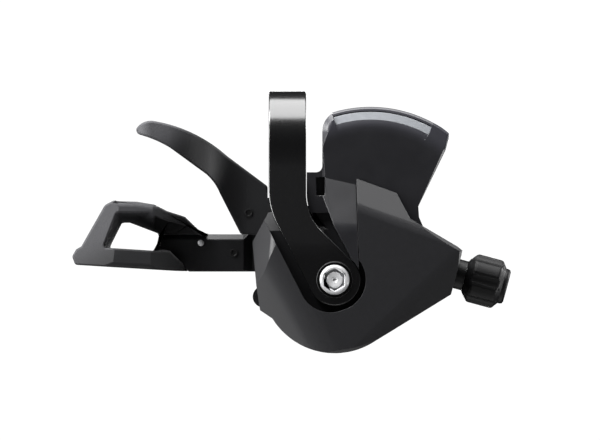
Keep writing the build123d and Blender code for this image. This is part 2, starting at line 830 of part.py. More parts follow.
with BuildPart() as indicator_back:
    with BuildSketch(body_plane(fan_back_y)):
        add(fan_sketch(-fan_wall - 0.3 - fit_gap / 2))
        with Locations((0, 15.6 + fit_gap / 2)):
            Rectangle(90, 60, align=(Align.CENTER, Align.MIN), mode=Mode.INTERSECT)
    extrude(amount=back_wall)
indicator_back.part.label = "indicator_back"
export_step(indicator_back.part, "parts/indicator_back.step")

with BuildPart() as indicator_dial:
    with BuildSketch(body_plane(fan_back_y - back_wall)):
        add(lens_sector(dial_radius - dial_wall, dial_radius, -0.3))
    extrude(amount=dial_width)
indicator_dial.part.label = "indicator_dial"
export_step(indicator_dial.part, "parts/indicator_dial.step")

# Pointer on its spindle. The spindle runs back through the base plate to a short arm, whose peg
# rides in the spool's spiral groove.
pointer_front_y = fan_face_y + fan_wall + 0.9
pointer_wall = 0.6
pointer_rest_angle = 104.5
pointer_radius = dial_radius + lens_wall
pointer_hub_radius = 2.2
follower_width = 2.2
peg_place = (
    needle_place[0] + peg_arm * cos(radians(peg_rest_angle)),
    needle_place[1] + peg_arm * sin(radians(peg_rest_angle)),
)

with BuildPart() as indicator_spindle:
    with BuildSketch(body_plane(arm_back_y)):
        with Locations(needle_place):
            Circle(spindle_radius)
    extrude(amount=arm_back_y - pointer_front_y)
    with BuildSketch(body_plane(arm_back_y)):
        with Locations(needle_place):
            SlotCenterPoint(
                (peg_arm / 2 * cos(radians(peg_rest_angle)), peg_arm / 2 * sin(radians(peg_rest_angle))),
                (peg_arm * cos(radians(peg_rest_angle)), peg_arm * sin(radians(peg_rest_angle))),
                follower_width,
            )
    extrude(amount=arm_wall)
    with BuildSketch(body_plane(feed_front_y + peg_depth - 0.2)):
        with Locations(peg_place):
            Circle(peg_radius)
    extrude(amount=layer_gap + peg_depth - 0.2)
indicator_spindle.part.label = "indicator_spindle"
export_step(indicator_spindle.part, "parts/indicator_spindle.step")

with BuildPart() as indicator_pointer:
    with BuildSketch(body_plane(pointer_front_y + pointer_wall)):
        with Locations(Location((*needle_place, 0), (0, 0, pointer_rest_angle))):
            Circle(pointer_hub_radius)
            Trapezoid(2.4, pointer_radius, 88.5, rotation=-90, align=(Align.CENTER, Align.MIN))
            Circle(spindle_radius + fixed_clearance, mode=Mode.SUBTRACT)
    extrude(amount=pointer_wall)
    with BuildSketch(body_plane(fan_back_y - back_wall - layer_gap)):
        with Locations(Location((*needle_place, 0), (0, 0, pointer_rest_angle))):
            with Locations((pointer_radius - 0.5, 0)):
                Rectangle(1.0, 0.9)
    extrude(amount=fan_back_y - back_wall - layer_gap - pointer_front_y)
indicator_pointer.part.label = "indicator_pointer"
export_step(indicator_pointer.part, "parts/indicator_pointer.step")

# Covers: one front outline, drawn round the axle, serves both shells.
cover_top = cover_radius + 0.2
shoulder = [(8.0, cover_top), polar(cover_radius + 6.6, 39.0), polar(cover_radius + 9.3, 27.4)]
wing_end = [
    polar(cover_radius + 15.0, 15.1),
    polar(cover_radius + 16.0, 12.9),
    polar(cover_radius + 12.4, -5.2),
    polar(cover_radius + 12.2, -7.2),
]
left_lobe = [
    polar(cover_radius + 2.0, 202.3),
    polar(cover_radius + 1.5, 182.1),
    polar(cover_radius + 4.7, 155.3),
    polar(cover_radius + 5.8, 134.9),
]
screw_places = [polar(cover_radius + 1.5, -19.8), polar(cover_radius + 2.5, 31.6)]
screw_boss_radius = 2.6
screw_radius = 1.1
screw_head_radius = 2.1
screw_head_height = 1.4
lower_left = polar(cover_radius, 212)


def tangent_point(corner, side):
    """Point where a line from an outer corner touches the round of the covers."""
    spread = degrees(acos(cover_radius / hypot(*corner)))
    return polar(cover_radius, degrees(atan2(corner[1], corner[0])) + side * spread)


lower_tangent = tangent_point(wing_end[-1], -1)


def front_outline(inset):
    """Front cover's outline below the indicator, moved in by an inset."""
    with BuildSketch() as outline:
        with BuildLine():
            Polyline((-12.0, cover_top), *shoulder, *wing_end, lower_tangent)
            ThreePointArc(lower_tangent, (0, -cover_radius), lower_left)
            Polyline(lower_left, *left_lobe, (-12.0, cover_top))
        make_face()
        if inset:
            offset(amount=-inset, kind=Kind.INTERSECTION)
    return outline.sketch


def sector(start, end, reach):
    """Wedge of the front view about the axle, used to open the shells for the levers."""
    with BuildSketch() as wedge:
        with BuildLine():
            middle = (start + end) / 2
            Polyline((0, 0), polar(reach, start), polar(reach, middle), polar(reach, end), close=True)
        make_face()
    return wedge.sketch


facet_bend = 8.0
side_bend = 4.0
broad_bend = 16.0
left_bevel = soft_facet((-16.7, 15.5), (-18.2, -5.6), (-22.8, 10.5, cover_face_y + 9), side_bend)
low_left_bevel = soft_facet((-16.1, 3.1), (-9.9, -8.2), (-20.7, -8.5, cover_face_y + 8), broad_bend)
right_bevel = soft_facet((10.5, -16.0), (19.0, -7.8), (32.3, -4.1, cover_face_y + 2.6), broad_bend)
top_facet = soft_facet((6.5, 20.0), (17.7, 15.9), (6.1, 28.2, fan_face_y - 0.9), facet_bend)
channel_gap = 1.5
channel_extra = Location((-1.2, 0, -0.4))
release_slot_start = 115
release_slot_end = 178
thumb_slot_start = 143
thumb_slot_end = 232
cover_edge = 0.9

# Room inside the front cover: behind the base plate it holds the levers, and a shallower part
# below the indicator keeps the wall thin. Screw columns and the channel's walls are left standing.
front_room_inset = 6.5
screw_grip = 4.5

with BuildPart() as cover_room:
    with BuildSketch(body_plane(parting_y)):
        add(front_outline(cover_wall))
        with Locations(*screw_places):
            Circle(screw_boss_radius, mode=Mode.SUBTRACT)
    extrude(amount=parting_y - plate_front_y)
    with BuildSketch(body_plane(plate_front_y)):
        add(front_outline(front_room_inset))
        with Locations((0, 4.0)):
            Rectangle(90, 60, align=(Align.CENTER, Align.MAX), mode=Mode.INTERSECT)
    extrude(amount=plate_front_y - cover_face_y - cover_wall)
    for bevel in (left_bevel, low_left_bevel, right_bevel):
        add(bevel.moved(Location((0, cover_wall, 0))), mode=Mode.SUBTRACT)
    channel_walls = leg_space(channel_gap + floor_wall, seat_gap + floor_wall)
    add(channel_walls, mode=Mode.SUBTRACT)
    add(channel_walls.moved(channel_extra), mode=Mode.SUBTRACT)

# Front cover: a moulding with flat facets. Its front stands forward of the indicator, and a deep
# channel lets the band's leg and its eye lie below the face.
with BuildPart() as front_cover:
    with BuildSketch(body_plane(parting_y)):
        add(front_outline(0))
    extrude(amount=parting_y - cover_face_y)
    chamfer(front_cover.faces().sort_by(Axis.Y)[0].edges(), length=cover_edge)
    for bevel in (left_bevel, low_left_bevel, right_bevel):
        add(bevel, mode=Mode.SUBTRACT)
    with BuildSketch(body_plane(fan_face_y - fit_gap)):
        with BuildLine():
            Polyline((6.1, 12.0), (6.1, 28.1), (17.3, 24.1), (21.0, 17.0), (18.0, 8.0), close=True)
        make_face()
    extrude(amount=fan_face_y - fit_gap - cover_face_y)
    add(top_facet, mode=Mode.SUBTRACT)
    with BuildSketch(body_plane(fan_back_y + fit_gap)):
        add(fan_sketch(fit_gap))
    extrude(amount=fan_back_y + 2 * fit_gap - fan_face_y, mode=Mode.SUBTRACT)
    with BuildSketch(body_plane(fan_back_y + fit_gap)):
        with BuildLine():
            Polyline(*tongue_outline, close=True)
        make_face()
        offset(amount=fit_gap, kind=Kind.INTERSECTION)
    extrude(amount=fan_back_y - cover_face_y + 5, mode=Mode.SUBTRACT)
    with BuildSketch(body_plane(floor_front_y)):
        with BuildLine():
            Polyline(
                (leg_right, slot_low),
                (fan_left, slot_low),
                (0.0, 14.7),
                (4.6, 6.0),
                (0.0, 4.0),
                (leg_right, 15.0),
                close=True,
            )
        make_face()
    extrude(amount=floor_front_y - cover_face_y + 5, mode=Mode.SUBTRACT)
    channel = leg_space(channel_gap, seat_gap)
    add(channel, mode=Mode.SUBTRACT)
    add(channel.moved(channel_extra), mode=Mode.SUBTRACT)
    add(cover_room.part, mode=Mode.SUBTRACT)
    with BuildSketch(body_plane(plate_back_y)):
        Circle(axle_radius + fit_gap)
    extrude(amount=plate_back_y - cover_face_y, mode=Mode.SUBTRACT)
    with BuildSketch(body_plane(parting_y)):
        add(sector(release_slot_start, release_slot_end, 40))
    extrude(amount=parting_y - release_front_y + layer_gap, mode=Mode.SUBTRACT)
    with BuildSketch(body_plane(parting_y)):
        with Locations(*screw_places):
            Circle(screw_radius + fixed_clearance)
    extrude(amount=screw_grip, mode=Mode.SUBTRACT)
front_cover.part.label = "front_cover"
export_step(front_cover.part, "parts/front_cover.step")

# Rear cover: a shell that closes the mechanism and carries the boss for the cable adjuster.
rear_edge = 2.0
rear_shoulder = polar(cover_radius + 5.8, 36.6)
upper_tangent = tangent_point(rear_shoulder, 1)
boss_width = 11.2
boss_length = 11.5
boss_end = cover_radius + 12.1
boss_start = boss_end - boss_length
adjuster_radius = 3.0
lug_place = polar(cover_radius, 193.7)
lug_radius = 3.0
plug_radius = 2.6
plug_length = 3.6
plug_boss_wall = 1.4
plug_proud = 0.6
plug_start = -((cover_radius**2 - spool_pitch_radius**2) ** 0.5) - plug_proud


def rear_outline(inset):
    """Rear cover's outline: the round of the mechanism and the wing that leads to the adjuster."""
    with BuildSketch() as outline:
        with BuildLine():
            Polyline(upper_tangent, rear_shoulder, *wing_end, lower_tangent)
            ThreePointArc(lower_tangent, (-cover_radius, 0), upper_tangent)
        make_face()
        if inset:
            offset(amount=-inset, kind=Kind.INTERSECTION)
    return outline.sketch


with BuildPart() as rear_cover:
    with BuildSketch(body_plane(rear_face_y)):
        add(rear_outline(0))
    extrude(amount=rear_face_y - parting_y)
    chamfer(rear_cover.faces().sort_by(Axis.Y)[-1].edges(), length=rear_edge)
    with BuildSketch(body_plane(rear_face_y - rear_edge)):
        with Locations(lug_place):
            Circle(lug_radius)
    extrude(amount=rear_face_y - rear_edge - drum_front_y)
    with BuildSketch(body_plane(rear_face_y - cover_wall)):
        add(rear_outline(cover_wall))
        with Locations(*screw_places):
            Circle(screw_boss_radius, mode=Mode.SUBTRACT)
    extrude(amount=rear_face_y - cover_wall - parting_y, mode=Mode.SUBTRACT)
    with BuildSketch(cable_plane(boss_start)):
        Rectangle(boss_width, boss_width)
    extrude(amount=boss_end - boss_start)
    with BuildSketch(cable_plane(boss_start - 1)):
        Circle(adjuster_radius + running_clearance)
    extrude(amount=boss_end - boss_start + 2, mode=Mode.SUBTRACT)
    with BuildSketch(cable_plane(plug_start + plug_proud)):
        Circle(plug_radius + plug_boss_wall)
    extrude(amount=plug_length - plug_proud)
    with BuildSketch(cable_plane(plug_start)):
        Circle(plug_radius + fixed_clearance)
    extrude(amount=plug_length, mode=Mode.SUBTRACT)
    with BuildSketch(body_plane(parting_y)):
        add(sector(thumb_slot_start, thumb_slot_end, 40))
    extrude(amount=parting_y - arm_back_y - layer_gap, mode=Mode.SUBTRACT)
    with BuildSketch(body_plane(rear_face_y)):
        with Locations(*screw_places):
            Circle(screw_head_radius + fit_gap)
    extrude(amount=screw_head_height, mode=Mode.SUBTRACT)
    with BuildSketch(body_plane(rear_face_y)):
        with Locations(*screw_places):
            Circle(screw_radius + fixed_clearance)
    extrude(amount=rear_face_y - parting_y, mode=Mode.SUBTRACT)
rear_cover.part.label = "rear_cover"
export_step(rear_cover.part, "parts/rear_cover.step")

# Cover screws: two alike, from the back through the rear cover into the front cover.
with BuildPart() as cover_screws:
    with BuildSketch(body_plane(rear_face_y)):
        with Locations(*screw_places):
            Circle(screw_head_radius)
    extrude(amount=screw_head_height)
    with BuildSketch(body_plane(rear_face_y - screw_head_height)):
        with Locations(*screw_places):
            Circle(screw_radius)
    extrude(amount=rear_face_y - screw_head_height - parting_y + screw_grip)
    with BuildSketch(body_plane(rear_face_y)):
        with Locations(*screw_places):
            Rectangle(2.6, 0.6)
            Rectangle(0.6, 2.6)
    extrude(amount=screw_head_height / 2, mode=Mode.SUBTRACT)
cover_screws.part.label = "cover_screws"
export_step(cover_screws.part, "parts/cover_screws.step")

# Cable plug: closes the hole through which the cable's end is fed into the spool.
with BuildPart() as cable_plug:
    with BuildSketch(cable_plane(plug_start)):
        Circle(plug_radius)
    extrude(amount=plug_length)
    with BuildSketch(cable_plane(plug_start)):
        Rectangle(3.6, 0.8)
        Rectangle(0.8, 3.6)
    extrude(amount=1.0, mode=Mode.SUBTRACT)
cable_plug.part.label = "cable_plug"
export_step(cable_plug.part, "parts/cable_plug.step")

# Barrel adjuster: a hollow bolt turns in the boss, a fluted knob turns with it, and a plain
# collar with a spring stands between knob and boss.
collar_end = boss_end + 2.5
adjuster_collar_radius = 4.2
knob_start = collar_end + running_clearance
knob_full = knob_start + 2.1
knob_taper = knob_start + 9.3
knob_cap_start = knob_start + 10.7
knob_cap_end = knob_start + 12.1
knob_neck_radius = 4.5
knob_radius = 6.9
knob_cap_radius = 5.0
flute_count = 6
flute_radius = 3.0
flute_depth = 0.7
sleeve_radius = 3.9
socket_radius = 2.55
socket_depth = 6.0
cable_hole_radius = 0.9
spring_pocket_radius = 4.05
spring_pocket_depth = 3.5
run_axis = Axis(cable_plane(0).origin, cable_plane(0).z_dir)
run_plane = Plane(origin=cable_plane(0).origin, x_dir=cable_plane(0).z_dir, z_dir=(0, 1, 0))

with BuildPart() as adjuster_collar:
    with BuildSketch(cable_plane(boss_end)):
        Circle(adjuster_collar_radius)
        Circle(adjuster_radius + running_clearance, mode=Mode.SUBTRACT)
    extrude(amount=collar_end - boss_end)
adjuster_collar.part.label = "adjuster_collar"
export_step(adjuster_collar.part, "parts/adjuster_collar.step")

with BuildPart() as adjuster_bolt:
    with BuildSketch(cable_plane(boss_start)):
        Circle(adjuster_radius)
    extrude(amount=knob_start + spring_pocket_depth - boss_start)
    with BuildSketch(cable_plane(knob_start + spring_pocket_depth)):
        Circle(sleeve_radius)
    extrude(amount=knob_cap_end - knob_start - spring_pocket_depth)
    with BuildSketch(cable_plane(boss_start)):
        Circle(cable_hole_radius)
    extrude(amount=knob_cap_end - boss_start, mode=Mode.SUBTRACT)
    with BuildSketch(cable_plane(knob_cap_end)):
        Circle(socket_radius)
    extrude(amount=-socket_depth, mode=Mode.SUBTRACT)
adjuster_bolt.part.label = "adjuster_bolt"
export_step(adjuster_bolt.part, "parts/adjuster_bolt.step")

with BuildPart() as adjuster_knob:
    with BuildSketch(run_plane):
        with BuildLine():
            Polyline(
                (knob_start, 0),
                (knob_start, knob_neck_radius),
                (knob_full, knob_radius),
                (knob_taper, knob_radius),
                (knob_cap_start, knob_cap_radius),
                (knob_cap_end - bolt_edge, knob_cap_radius),
                (knob_cap_end, knob_cap_radius - bolt_edge),
                (knob_cap_end, 0),
                close=True,
            )
        make_face()
    revolve(axis=run_axis)
    with BuildSketch(cable_plane(knob_start)):
        with PolarLocations(knob_radius + flute_radius - flute_depth, flute_count):
            Circle(flute_radius)
    extrude(amount=knob_cap_start - knob_start, mode=Mode.SUBTRACT)
    with BuildSketch(cable_plane(knob_start)):
        Circle(sleeve_radius + fixed_clearance)
    extrude(amount=knob_cap_end - knob_start, mode=Mode.SUBTRACT)
    with BuildSketch(cable_plane(knob_start)):
        Circle(spring_pocket_radius)
    extrude(amount=spring_pocket_depth, mode=Mode.SUBTRACT)
adjuster_knob.part.label = "adjuster_knob"
export_step(adjuster_knob.part, "parts/adjuster_knob.step")

# Springs are bent from flat wire. Each is a coil of the same section round its own axis.
wire_width = 0.7


def coil(base, radius, turns, height):
    """Coil of square wire that rises along a plane's normal."""
    with BuildPart() as spring:
        with BuildLine() as path:
            Helix(height / turns, height, radius, center=base.origin, direction=base.z_dir)
        with BuildSketch(Plane(origin=path.line @ 0, x_dir=base.z_dir, z_dir=path.line % 0)):
            Rectangle(wire_width, wire_width)
        sweep(is_frenet=True)
    return spring.part


lever_spring_radius = 6.3
lever_spring_turns = 1.2
spool_spring_radius = 7.0
spool_spring_turns = 1.5
adjuster_spring_radius = 3.55
adjuster_spring_turns = 1.2
spring_gap = 0.15

with BuildPart() as release_spring:
    coil_room = spring_layer - wire_width - 2 * spring_gap
    add(coil(body_plane(release_front_y - spring_gap - wire_width / 2), lever_spring_radius,
             lever_spring_turns, coil_room))
release_spring.part.label = "release_spring"
export_step(release_spring.part, "parts/release_spring.step")

with BuildPart() as thumb_spring:
    add(coil(body_plane(arm_front_y - spring_gap - wire_width / 2), lever_spring_radius,
             lever_spring_turns, coil_room))
thumb_spring.part.label = "thumb_spring"
export_step(thumb_spring.part, "parts/thumb_spring.step")

with BuildPart() as spool_spring:
    spool_coil_room = hold_back_y - drum_front_y - spring_room_floor - wire_width - 2 * spring_gap
    add(coil(body_plane(hold_back_y - spring_gap - wire_width / 2), spool_spring_radius,
             spool_spring_turns, spool_coil_room))
spool_spring.part.label = "spool_spring"
export_step(spool_spring.part, "parts/spool_spring.step")

with BuildPart() as adjuster_spring:
    knob_coil_room = knob_start + spring_pocket_depth - collar_end - wire_width - 2 * spring_gap
    add(coil(cable_plane(collar_end + spring_gap + wire_width / 2), adjuster_spring_radius,
             adjuster_spring_turns, knob_coil_room))
adjuster_spring.part.label = "adjuster_spring"
export_step(adjuster_spring.part, "parts/adjuster_spring.step")
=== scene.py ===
import bpy
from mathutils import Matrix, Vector
from math import cos, radians, sin


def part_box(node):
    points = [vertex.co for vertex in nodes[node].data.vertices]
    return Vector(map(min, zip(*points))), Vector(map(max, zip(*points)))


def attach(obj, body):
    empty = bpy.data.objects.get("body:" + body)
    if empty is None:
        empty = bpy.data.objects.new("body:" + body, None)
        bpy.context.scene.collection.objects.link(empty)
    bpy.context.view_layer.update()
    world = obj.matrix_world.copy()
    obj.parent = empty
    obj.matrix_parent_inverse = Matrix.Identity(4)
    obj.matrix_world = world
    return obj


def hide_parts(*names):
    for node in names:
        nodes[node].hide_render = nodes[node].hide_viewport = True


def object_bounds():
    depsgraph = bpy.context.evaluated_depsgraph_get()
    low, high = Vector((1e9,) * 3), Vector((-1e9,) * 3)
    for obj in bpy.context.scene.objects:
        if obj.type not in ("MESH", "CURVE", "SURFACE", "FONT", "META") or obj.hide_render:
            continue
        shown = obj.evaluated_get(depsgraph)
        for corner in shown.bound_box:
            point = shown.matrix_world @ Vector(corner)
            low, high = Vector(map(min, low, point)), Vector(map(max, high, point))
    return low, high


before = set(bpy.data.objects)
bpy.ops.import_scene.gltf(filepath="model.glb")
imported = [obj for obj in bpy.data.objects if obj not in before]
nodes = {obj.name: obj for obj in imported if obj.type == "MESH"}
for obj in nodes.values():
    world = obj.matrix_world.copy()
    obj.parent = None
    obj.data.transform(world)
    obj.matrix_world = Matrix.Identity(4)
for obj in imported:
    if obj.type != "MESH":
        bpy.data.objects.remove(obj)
cad_low, cad_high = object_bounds()
bpy.ops.object.select_all(action="DESELECT")


# Clamp band: a strip of aluminium bent round the bar and drawn together by one bolt. It is blasted,
# then anodised black, and its edges are tumbled.
def linear(hex_colour):
    """Linear RGBA of an sRGB hex colour."""
    channels = [int(hex_colour[i:i + 2], 16) / 255 for i in (1, 3, 5)]
    return [c / 12.92 if c <= 0.04045 else ((c + 0.055) / 1.055) ** 2.4 for c in channels] + [1.0]


def add(tree, kind, inputs, **settings):
    """Adds one shader node, with its settings, and sets or links its inputs."""
    node = tree.nodes.new(kind)
    for name, value in settings.items():
        setattr(node, name, value)
    for name, value in inputs.items():
        if isinstance(value, bpy.types.NodeSocket):
            tree.links.new(value, node.inputs[name])
        else:
            node.inputs[name].default_value = value
    return node


def new_tree(name):
    """New material with an empty node tree."""
    material = bpy.data.materials.new(name)
    material.use_nodes = True
    material.node_tree.nodes.clear()
    return material, material.node_tree


def dress(material, *names):
    """Gives CAD nodes and new pieces their material."""
    for name in names:
        piece = nodes.get(name) or bpy.data.objects[name]
        piece.data.materials.clear()
        piece.data.materials.append(material)


# Creases above one angle stay crisp in the shading, and outer corners above another are marked for
# the rounding of edges.
creases = bpy.data.node_groups.new("crisp_creases", "GeometryNodeTree")
creases.interface.new_socket("Geometry", in_out="INPUT", socket_type="NodeSocketGeometry")
least_angle = creases.interface.new_socket(
    "Least Angle", in_out="INPUT", socket_type="NodeSocketFloat")
crisp_angle = creases.interface.new_socket(
    "Crisp Angle", in_out="INPUT", socket_type="NodeSocketFloat")
creases.interface.new_socket("Geometry", in_out="OUTPUT", socket_type="NodeSocketGeometry")
shape = add(creases, "NodeGroupInput", {})
angle = add(creases, "GeometryNodeInputMeshEdgeAngle", {})
steep = add(creases, "FunctionNodeCompare", {
    "A": angle.outputs["Unsigned Angle"], "B": shape.outputs["Crisp Angle"]})
smooth = add(creases, "GeometryNodeSetShadeSmooth", {"Geometry": shape.outputs["Geometry"]})
crisp = add(creases, "GeometryNodeSetShadeSmooth", {
    "Geometry": smooth.outputs["Geometry"], "Selection": steep.outputs["Result"],
    "Shade Smooth": False}, domain="EDGE")
corner = add(creases, "FunctionNodeCompare", {
    "A": angle.outputs["Signed Angle"], "B": shape.outputs["Least Angle"]})
marked = add(creases, "GeometryNodeStoreNamedAttribute", {
    "Geometry": crisp.outputs["Geometry"], "Name": "bevel_weight_edge",
    "Value": corner.outputs["Result"]}, domain="EDGE")
add(creases, "NodeGroupOutput", {"Geometry": marked.outputs["Geometry"]})


def round_edges(width, *names, least=32, join=0.1, crisp=18):
    """Joins a piece's triangles into faces and rounds its edges, as tumbling or a mould does."""
    for name in names:
        piece = nodes.get(name) or bpy.data.objects[name]
        weld = piece.modifiers.new("weld", "WELD")
        weld.merge_threshold = 0.00001
        flat = piece.modifiers.new("flat", "DECIMATE")
        flat.decimate_type = "DISSOLVE"
        flat.angle_limit = radians(join)
        crease = piece.modifiers.new("crease", "NODES")
        crease.node_group = creases
        crease[least_angle.identifier] = radians(least)
        crease[crisp_angle.identifier] = radians(crisp)
        bevel = piece.modifiers.new("edge", "BEVEL")
        bevel.width = width
        bevel.segments = 3
        bevel.limit_method = "WEIGHT"
        bevel.use_clamp_overlap = False
        bevel.loop_slide = False
        shade = piece.modifiers.new("shade", "WEIGHTED_NORMAL")
        shade.weight = 100
        shade.keep_sharp = True


# Black anodised aluminium, bead blasted: a dense, even black with a satin, slightly metallic shine.
# The blasted grain is really about 0.1 mm, and drawn at 0.4 mm so that it shows.
anodised, tree = new_tree("anodised_aluminium_blasted")
place = add(tree, "ShaderNodeTexCoord", {})
grain = add(tree, "ShaderNodeTexNoise", {
    "Vector": place.outputs["Object"], "Scale": 1 / 0.0004, "Detail": 3.0})
tone = add(tree, "ShaderNodeValToRGB", {"Fac": grain.outputs["Fac"]})
tone.color_ramp.elements[0].color = linear("#09090a")
tone.color_ramp.elements[1].color = linear("#0d0d0e")
gloss = add(tree, "ShaderNodeMapRange", {
    "Value": grain.outputs["Fac"], "To Min": 0.18, "To Max": 0.24})
bump = add(tree, "ShaderNodeBump", {
    "Height": grain.outputs["Fac"], "Strength": 0.05, "Distance": 0.00005})
shader = add(tree, "ShaderNodeBsdfPrincipled", {
    "Base Color": tone.outputs["Color"], "Roughness": gloss.outputs["Result"],
    "Normal": bump.outputs["Normal"], "IOR": 2.05})
add(tree, "ShaderNodeOutputMaterial", {"Surface": shader.outputs["BSDF"]})
dress(anodised, "clamp_band")
round_edges(0.0003, "clamp_band")


# Clamp bolt: M5 socket head bolt through both eyes of the band into the axle, which draws the band
# tight and holds the shifter to it. Cold-headed steel, faced on a lathe and nickel plated.
# Bright nickel: pale and softly shining, a little cloudy from the plating bath.
bright_steel, tree = new_tree("nickel_plated_steel_turned")
place = add(tree, "ShaderNodeTexCoord", {})
lathe = add(tree, "ShaderNodeTexNoise", {
    "Vector": place.outputs["Object"], "Scale": 1 / 0.0006, "Detail": 2.0})
tone = add(tree, "ShaderNodeValToRGB", {"Fac": lathe.outputs["Fac"]})
tone.color_ramp.elements[0].color = linear("#d9dadc")
tone.color_ramp.elements[1].color = linear("#efeff0")
gloss = add(tree, "ShaderNodeMapRange", {
    "Value": lathe.outputs["Fac"], "To Min": 0.32, "To Max": 0.4})
shader = add(tree, "ShaderNodeBsdfPrincipled", {
    "Base Color": tone.outputs["Color"], "Metallic": 0.25, "Roughness": gloss.outputs["Result"]})
add(tree, "ShaderNodeOutputMaterial", {"Surface": shader.outputs["BSDF"]})


def work_copy(name, node):
    """Merged copy of a CAD node's mesh, active and ready to be shaped."""
    piece = bpy.data.objects.new(name, nodes[node].data.copy())
    bpy.context.collection.objects.link(piece)
    bpy.ops.object.select_all(action="DESELECT")
    piece.select_set(True)
    bpy.context.view_layer.objects.active = piece
    bpy.ops.mesh.customdata_custom_splitnormals_clear()
    bpy.ops.object.mode_set(mode="EDIT")
    bpy.ops.mesh.select_all(action="SELECT")
    bpy.ops.mesh.remove_doubles(threshold=0.00001)
    bpy.ops.mesh.dissolve_limited(angle_limit=radians(0.1))
    bpy.ops.object.mode_set(mode="OBJECT")
    return piece


def combine(piece, tool, way):
    """Cuts a piece with a tool, or adds the tool to it, and takes the tool away."""
    bpy.context.view_layer.objects.active = piece
    step = piece.modifiers.new("step", "BOOLEAN")
    step.operation = way
    step.solver = "EXACT"
    step.object = tool
    bpy.ops.object.modifier_apply(modifier="step")
    bpy.data.objects.remove(tool)


def pick_faces(piece, test):
    """Selects the faces of a piece whose centre and normal pass a test, in edit mode."""
    bpy.ops.object.mode_set(mode="EDIT")
    bpy.ops.mesh.select_mode(type="FACE")
    bpy.ops.mesh.select_all(action="DESELECT")
    bpy.ops.object.mode_set(mode="OBJECT")
    for face in piece.data.polygons:
        face.select = test(face.center, face.normal)
    bpy.ops.object.mode_set(mode="EDIT")


# The socket's floor is raised in the middle and has a drill point.
bolt = work_copy("socket_bolt", "clamp_bolt")
head_low, head_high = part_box("clamp_bolt")
head_x, head_z = (head_low.x + head_high.x) / 2, (head_low.z + head_high.z) / 2
socket_across, socket_depth = 0.0054, 0.002
floor_radius, floor_sink, sunk_in = 0.00225, 0.0004, 0.0001
rim_width, cone_width, cone_depth = 0.0004, 0.0012, 0.00022
point_width, point_depth = 0.0002, 0.0004
bpy.ops.object.select_all(action="DESELECT")
bpy.ops.mesh.primitive_cylinder_add(
    vertices=6, radius=socket_across / 2 / cos(radians(30)), depth=2 * socket_depth,
    location=(head_x, head_low.y, head_z), rotation=(radians(90), 0, 0))
combine(bolt, bpy.context.object, "DIFFERENCE")
bpy.ops.object.select_all(action="DESELECT")
floor_front, floor_back = head_low.y + floor_sink, head_low.y + socket_depth + sunk_in
bpy.ops.mesh.primitive_cylinder_add(
    vertices=32, radius=floor_radius, depth=floor_back - floor_front,
    location=(head_x, (floor_front + floor_back) / 2, head_z), rotation=(radians(90), 0, 0))
bpy.ops.object.transform_apply(location=True, rotation=True, scale=True)
socket_floor = bpy.context.object
pick_faces(socket_floor, lambda centre, normal: normal.y < -0.9)
bpy.ops.mesh.inset(thickness=rim_width)
for width, depth in ((cone_width, cone_depth), (point_width, point_depth)):
    bpy.ops.mesh.inset(thickness=width)
    bpy.ops.transform.translate(value=(0, depth, 0))
bpy.ops.object.mode_set(mode="OBJECT")
combine(bolt, socket_floor, "UNION")
dress(bright_steel, "socket_bolt")
round_edges(0.00025, "socket_bolt")
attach(bolt, "shifter_body")
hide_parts("clamp_bolt")


# Covers: two shells moulded in black ABS, screwed together from the back over the mechanism. The
# front one is faceted and has a channel for the band's leg.
# Satin black from a fine spark-eroded mould: dark, even, with a soft sheen on the facets. The grain
# is really about 0.1 mm, and drawn at 0.5 mm so that it shows.
satin_black, tree = new_tree("moulded_abs_satin_black")
place = add(tree, "ShaderNodeTexCoord", {})
spark = add(tree, "ShaderNodeTexNoise", {
    "Vector": place.outputs["Object"], "Scale": 1 / 0.0005, "Detail": 4.0})
tone = add(tree, "ShaderNodeValToRGB", {"Fac": spark.outputs["Fac"]})
tone.color_ramp.elements[0].color = linear("#1a1a1c")
tone.color_ramp.elements[1].color = linear("#222225")
gloss = add(tree, "ShaderNodeMapRange", {
    "Value": spark.outputs["Fac"], "To Min": 0.38, "To Max": 0.48})
bump = add(tree, "ShaderNodeBump", {
    "Height": spark.outputs["Fac"], "Strength": 0.08, "Distance": 0.00006})
shader = add(tree, "ShaderNodeBsdfPrincipled", {
    "Base Color": tone.outputs["Color"], "Roughness": gloss.outputs["Result"],
    "Normal": bump.outputs["Normal"], "IOR": 1.53})
add(tree, "ShaderNodeOutputMaterial", {"Surface": shader.outputs["BSDF"]})
dress(satin_black, "front_cover", "rear_cover")
round_edges(0.00005, "front_cover", "rear_cover", least=50, join=4, crisp=11)


# Indicator: a fan-shaped housing moulded in polished black polycarbonate, with a clear strip along
# its top edge. Behind the strip lie a pale band and an orange pointer.
# Polished black: deeper and glossier than the covers. Towards the lens the colour is made greyer
# as a painted sheen, standing in for the light above reflected there.
fan_centre_x, fan_centre_z = 0.0231, -0.0266
fan_centre = Vector((fan_centre_x, 0, fan_centre_z))
sheen_from, sheen_to = 0.029, 0.034
polished_black, tree = new_tree("polished_polycarbonate_black")
place = add(tree, "ShaderNodeTexCoord", {})
ripple = add(tree, "ShaderNodeTexNoise", {
    "Vector": place.outputs["Object"], "Scale": 1 / 0.004, "Detail": 1.0})
tone = add(tree, "ShaderNodeValToRGB", {"Fac": ripple.outputs["Fac"]})
tone.color_ramp.elements[0].color = linear("#1c1c1f")
tone.color_ramp.elements[1].color = linear("#212124")
flat_place = add(tree, "ShaderNodeVectorMath", {
    0: place.outputs["Object"], 1: (1, 0, 1)}, operation="MULTIPLY")
from_centre = add(tree, "ShaderNodeVectorMath", {
    0: flat_place.outputs["Vector"], 1: fan_centre}, operation="DISTANCE")
# Painted sheen: the colour grows greyer towards the lens, standing in for the light above reflected
# there.
painted_sheen_near_lens = add(tree, "ShaderNodeMapRange", {
    "Value": from_centre.outputs["Value"], "From Min": sheen_from, "From Max": sheen_to},
    interpolation_type="SMOOTHSTEP")
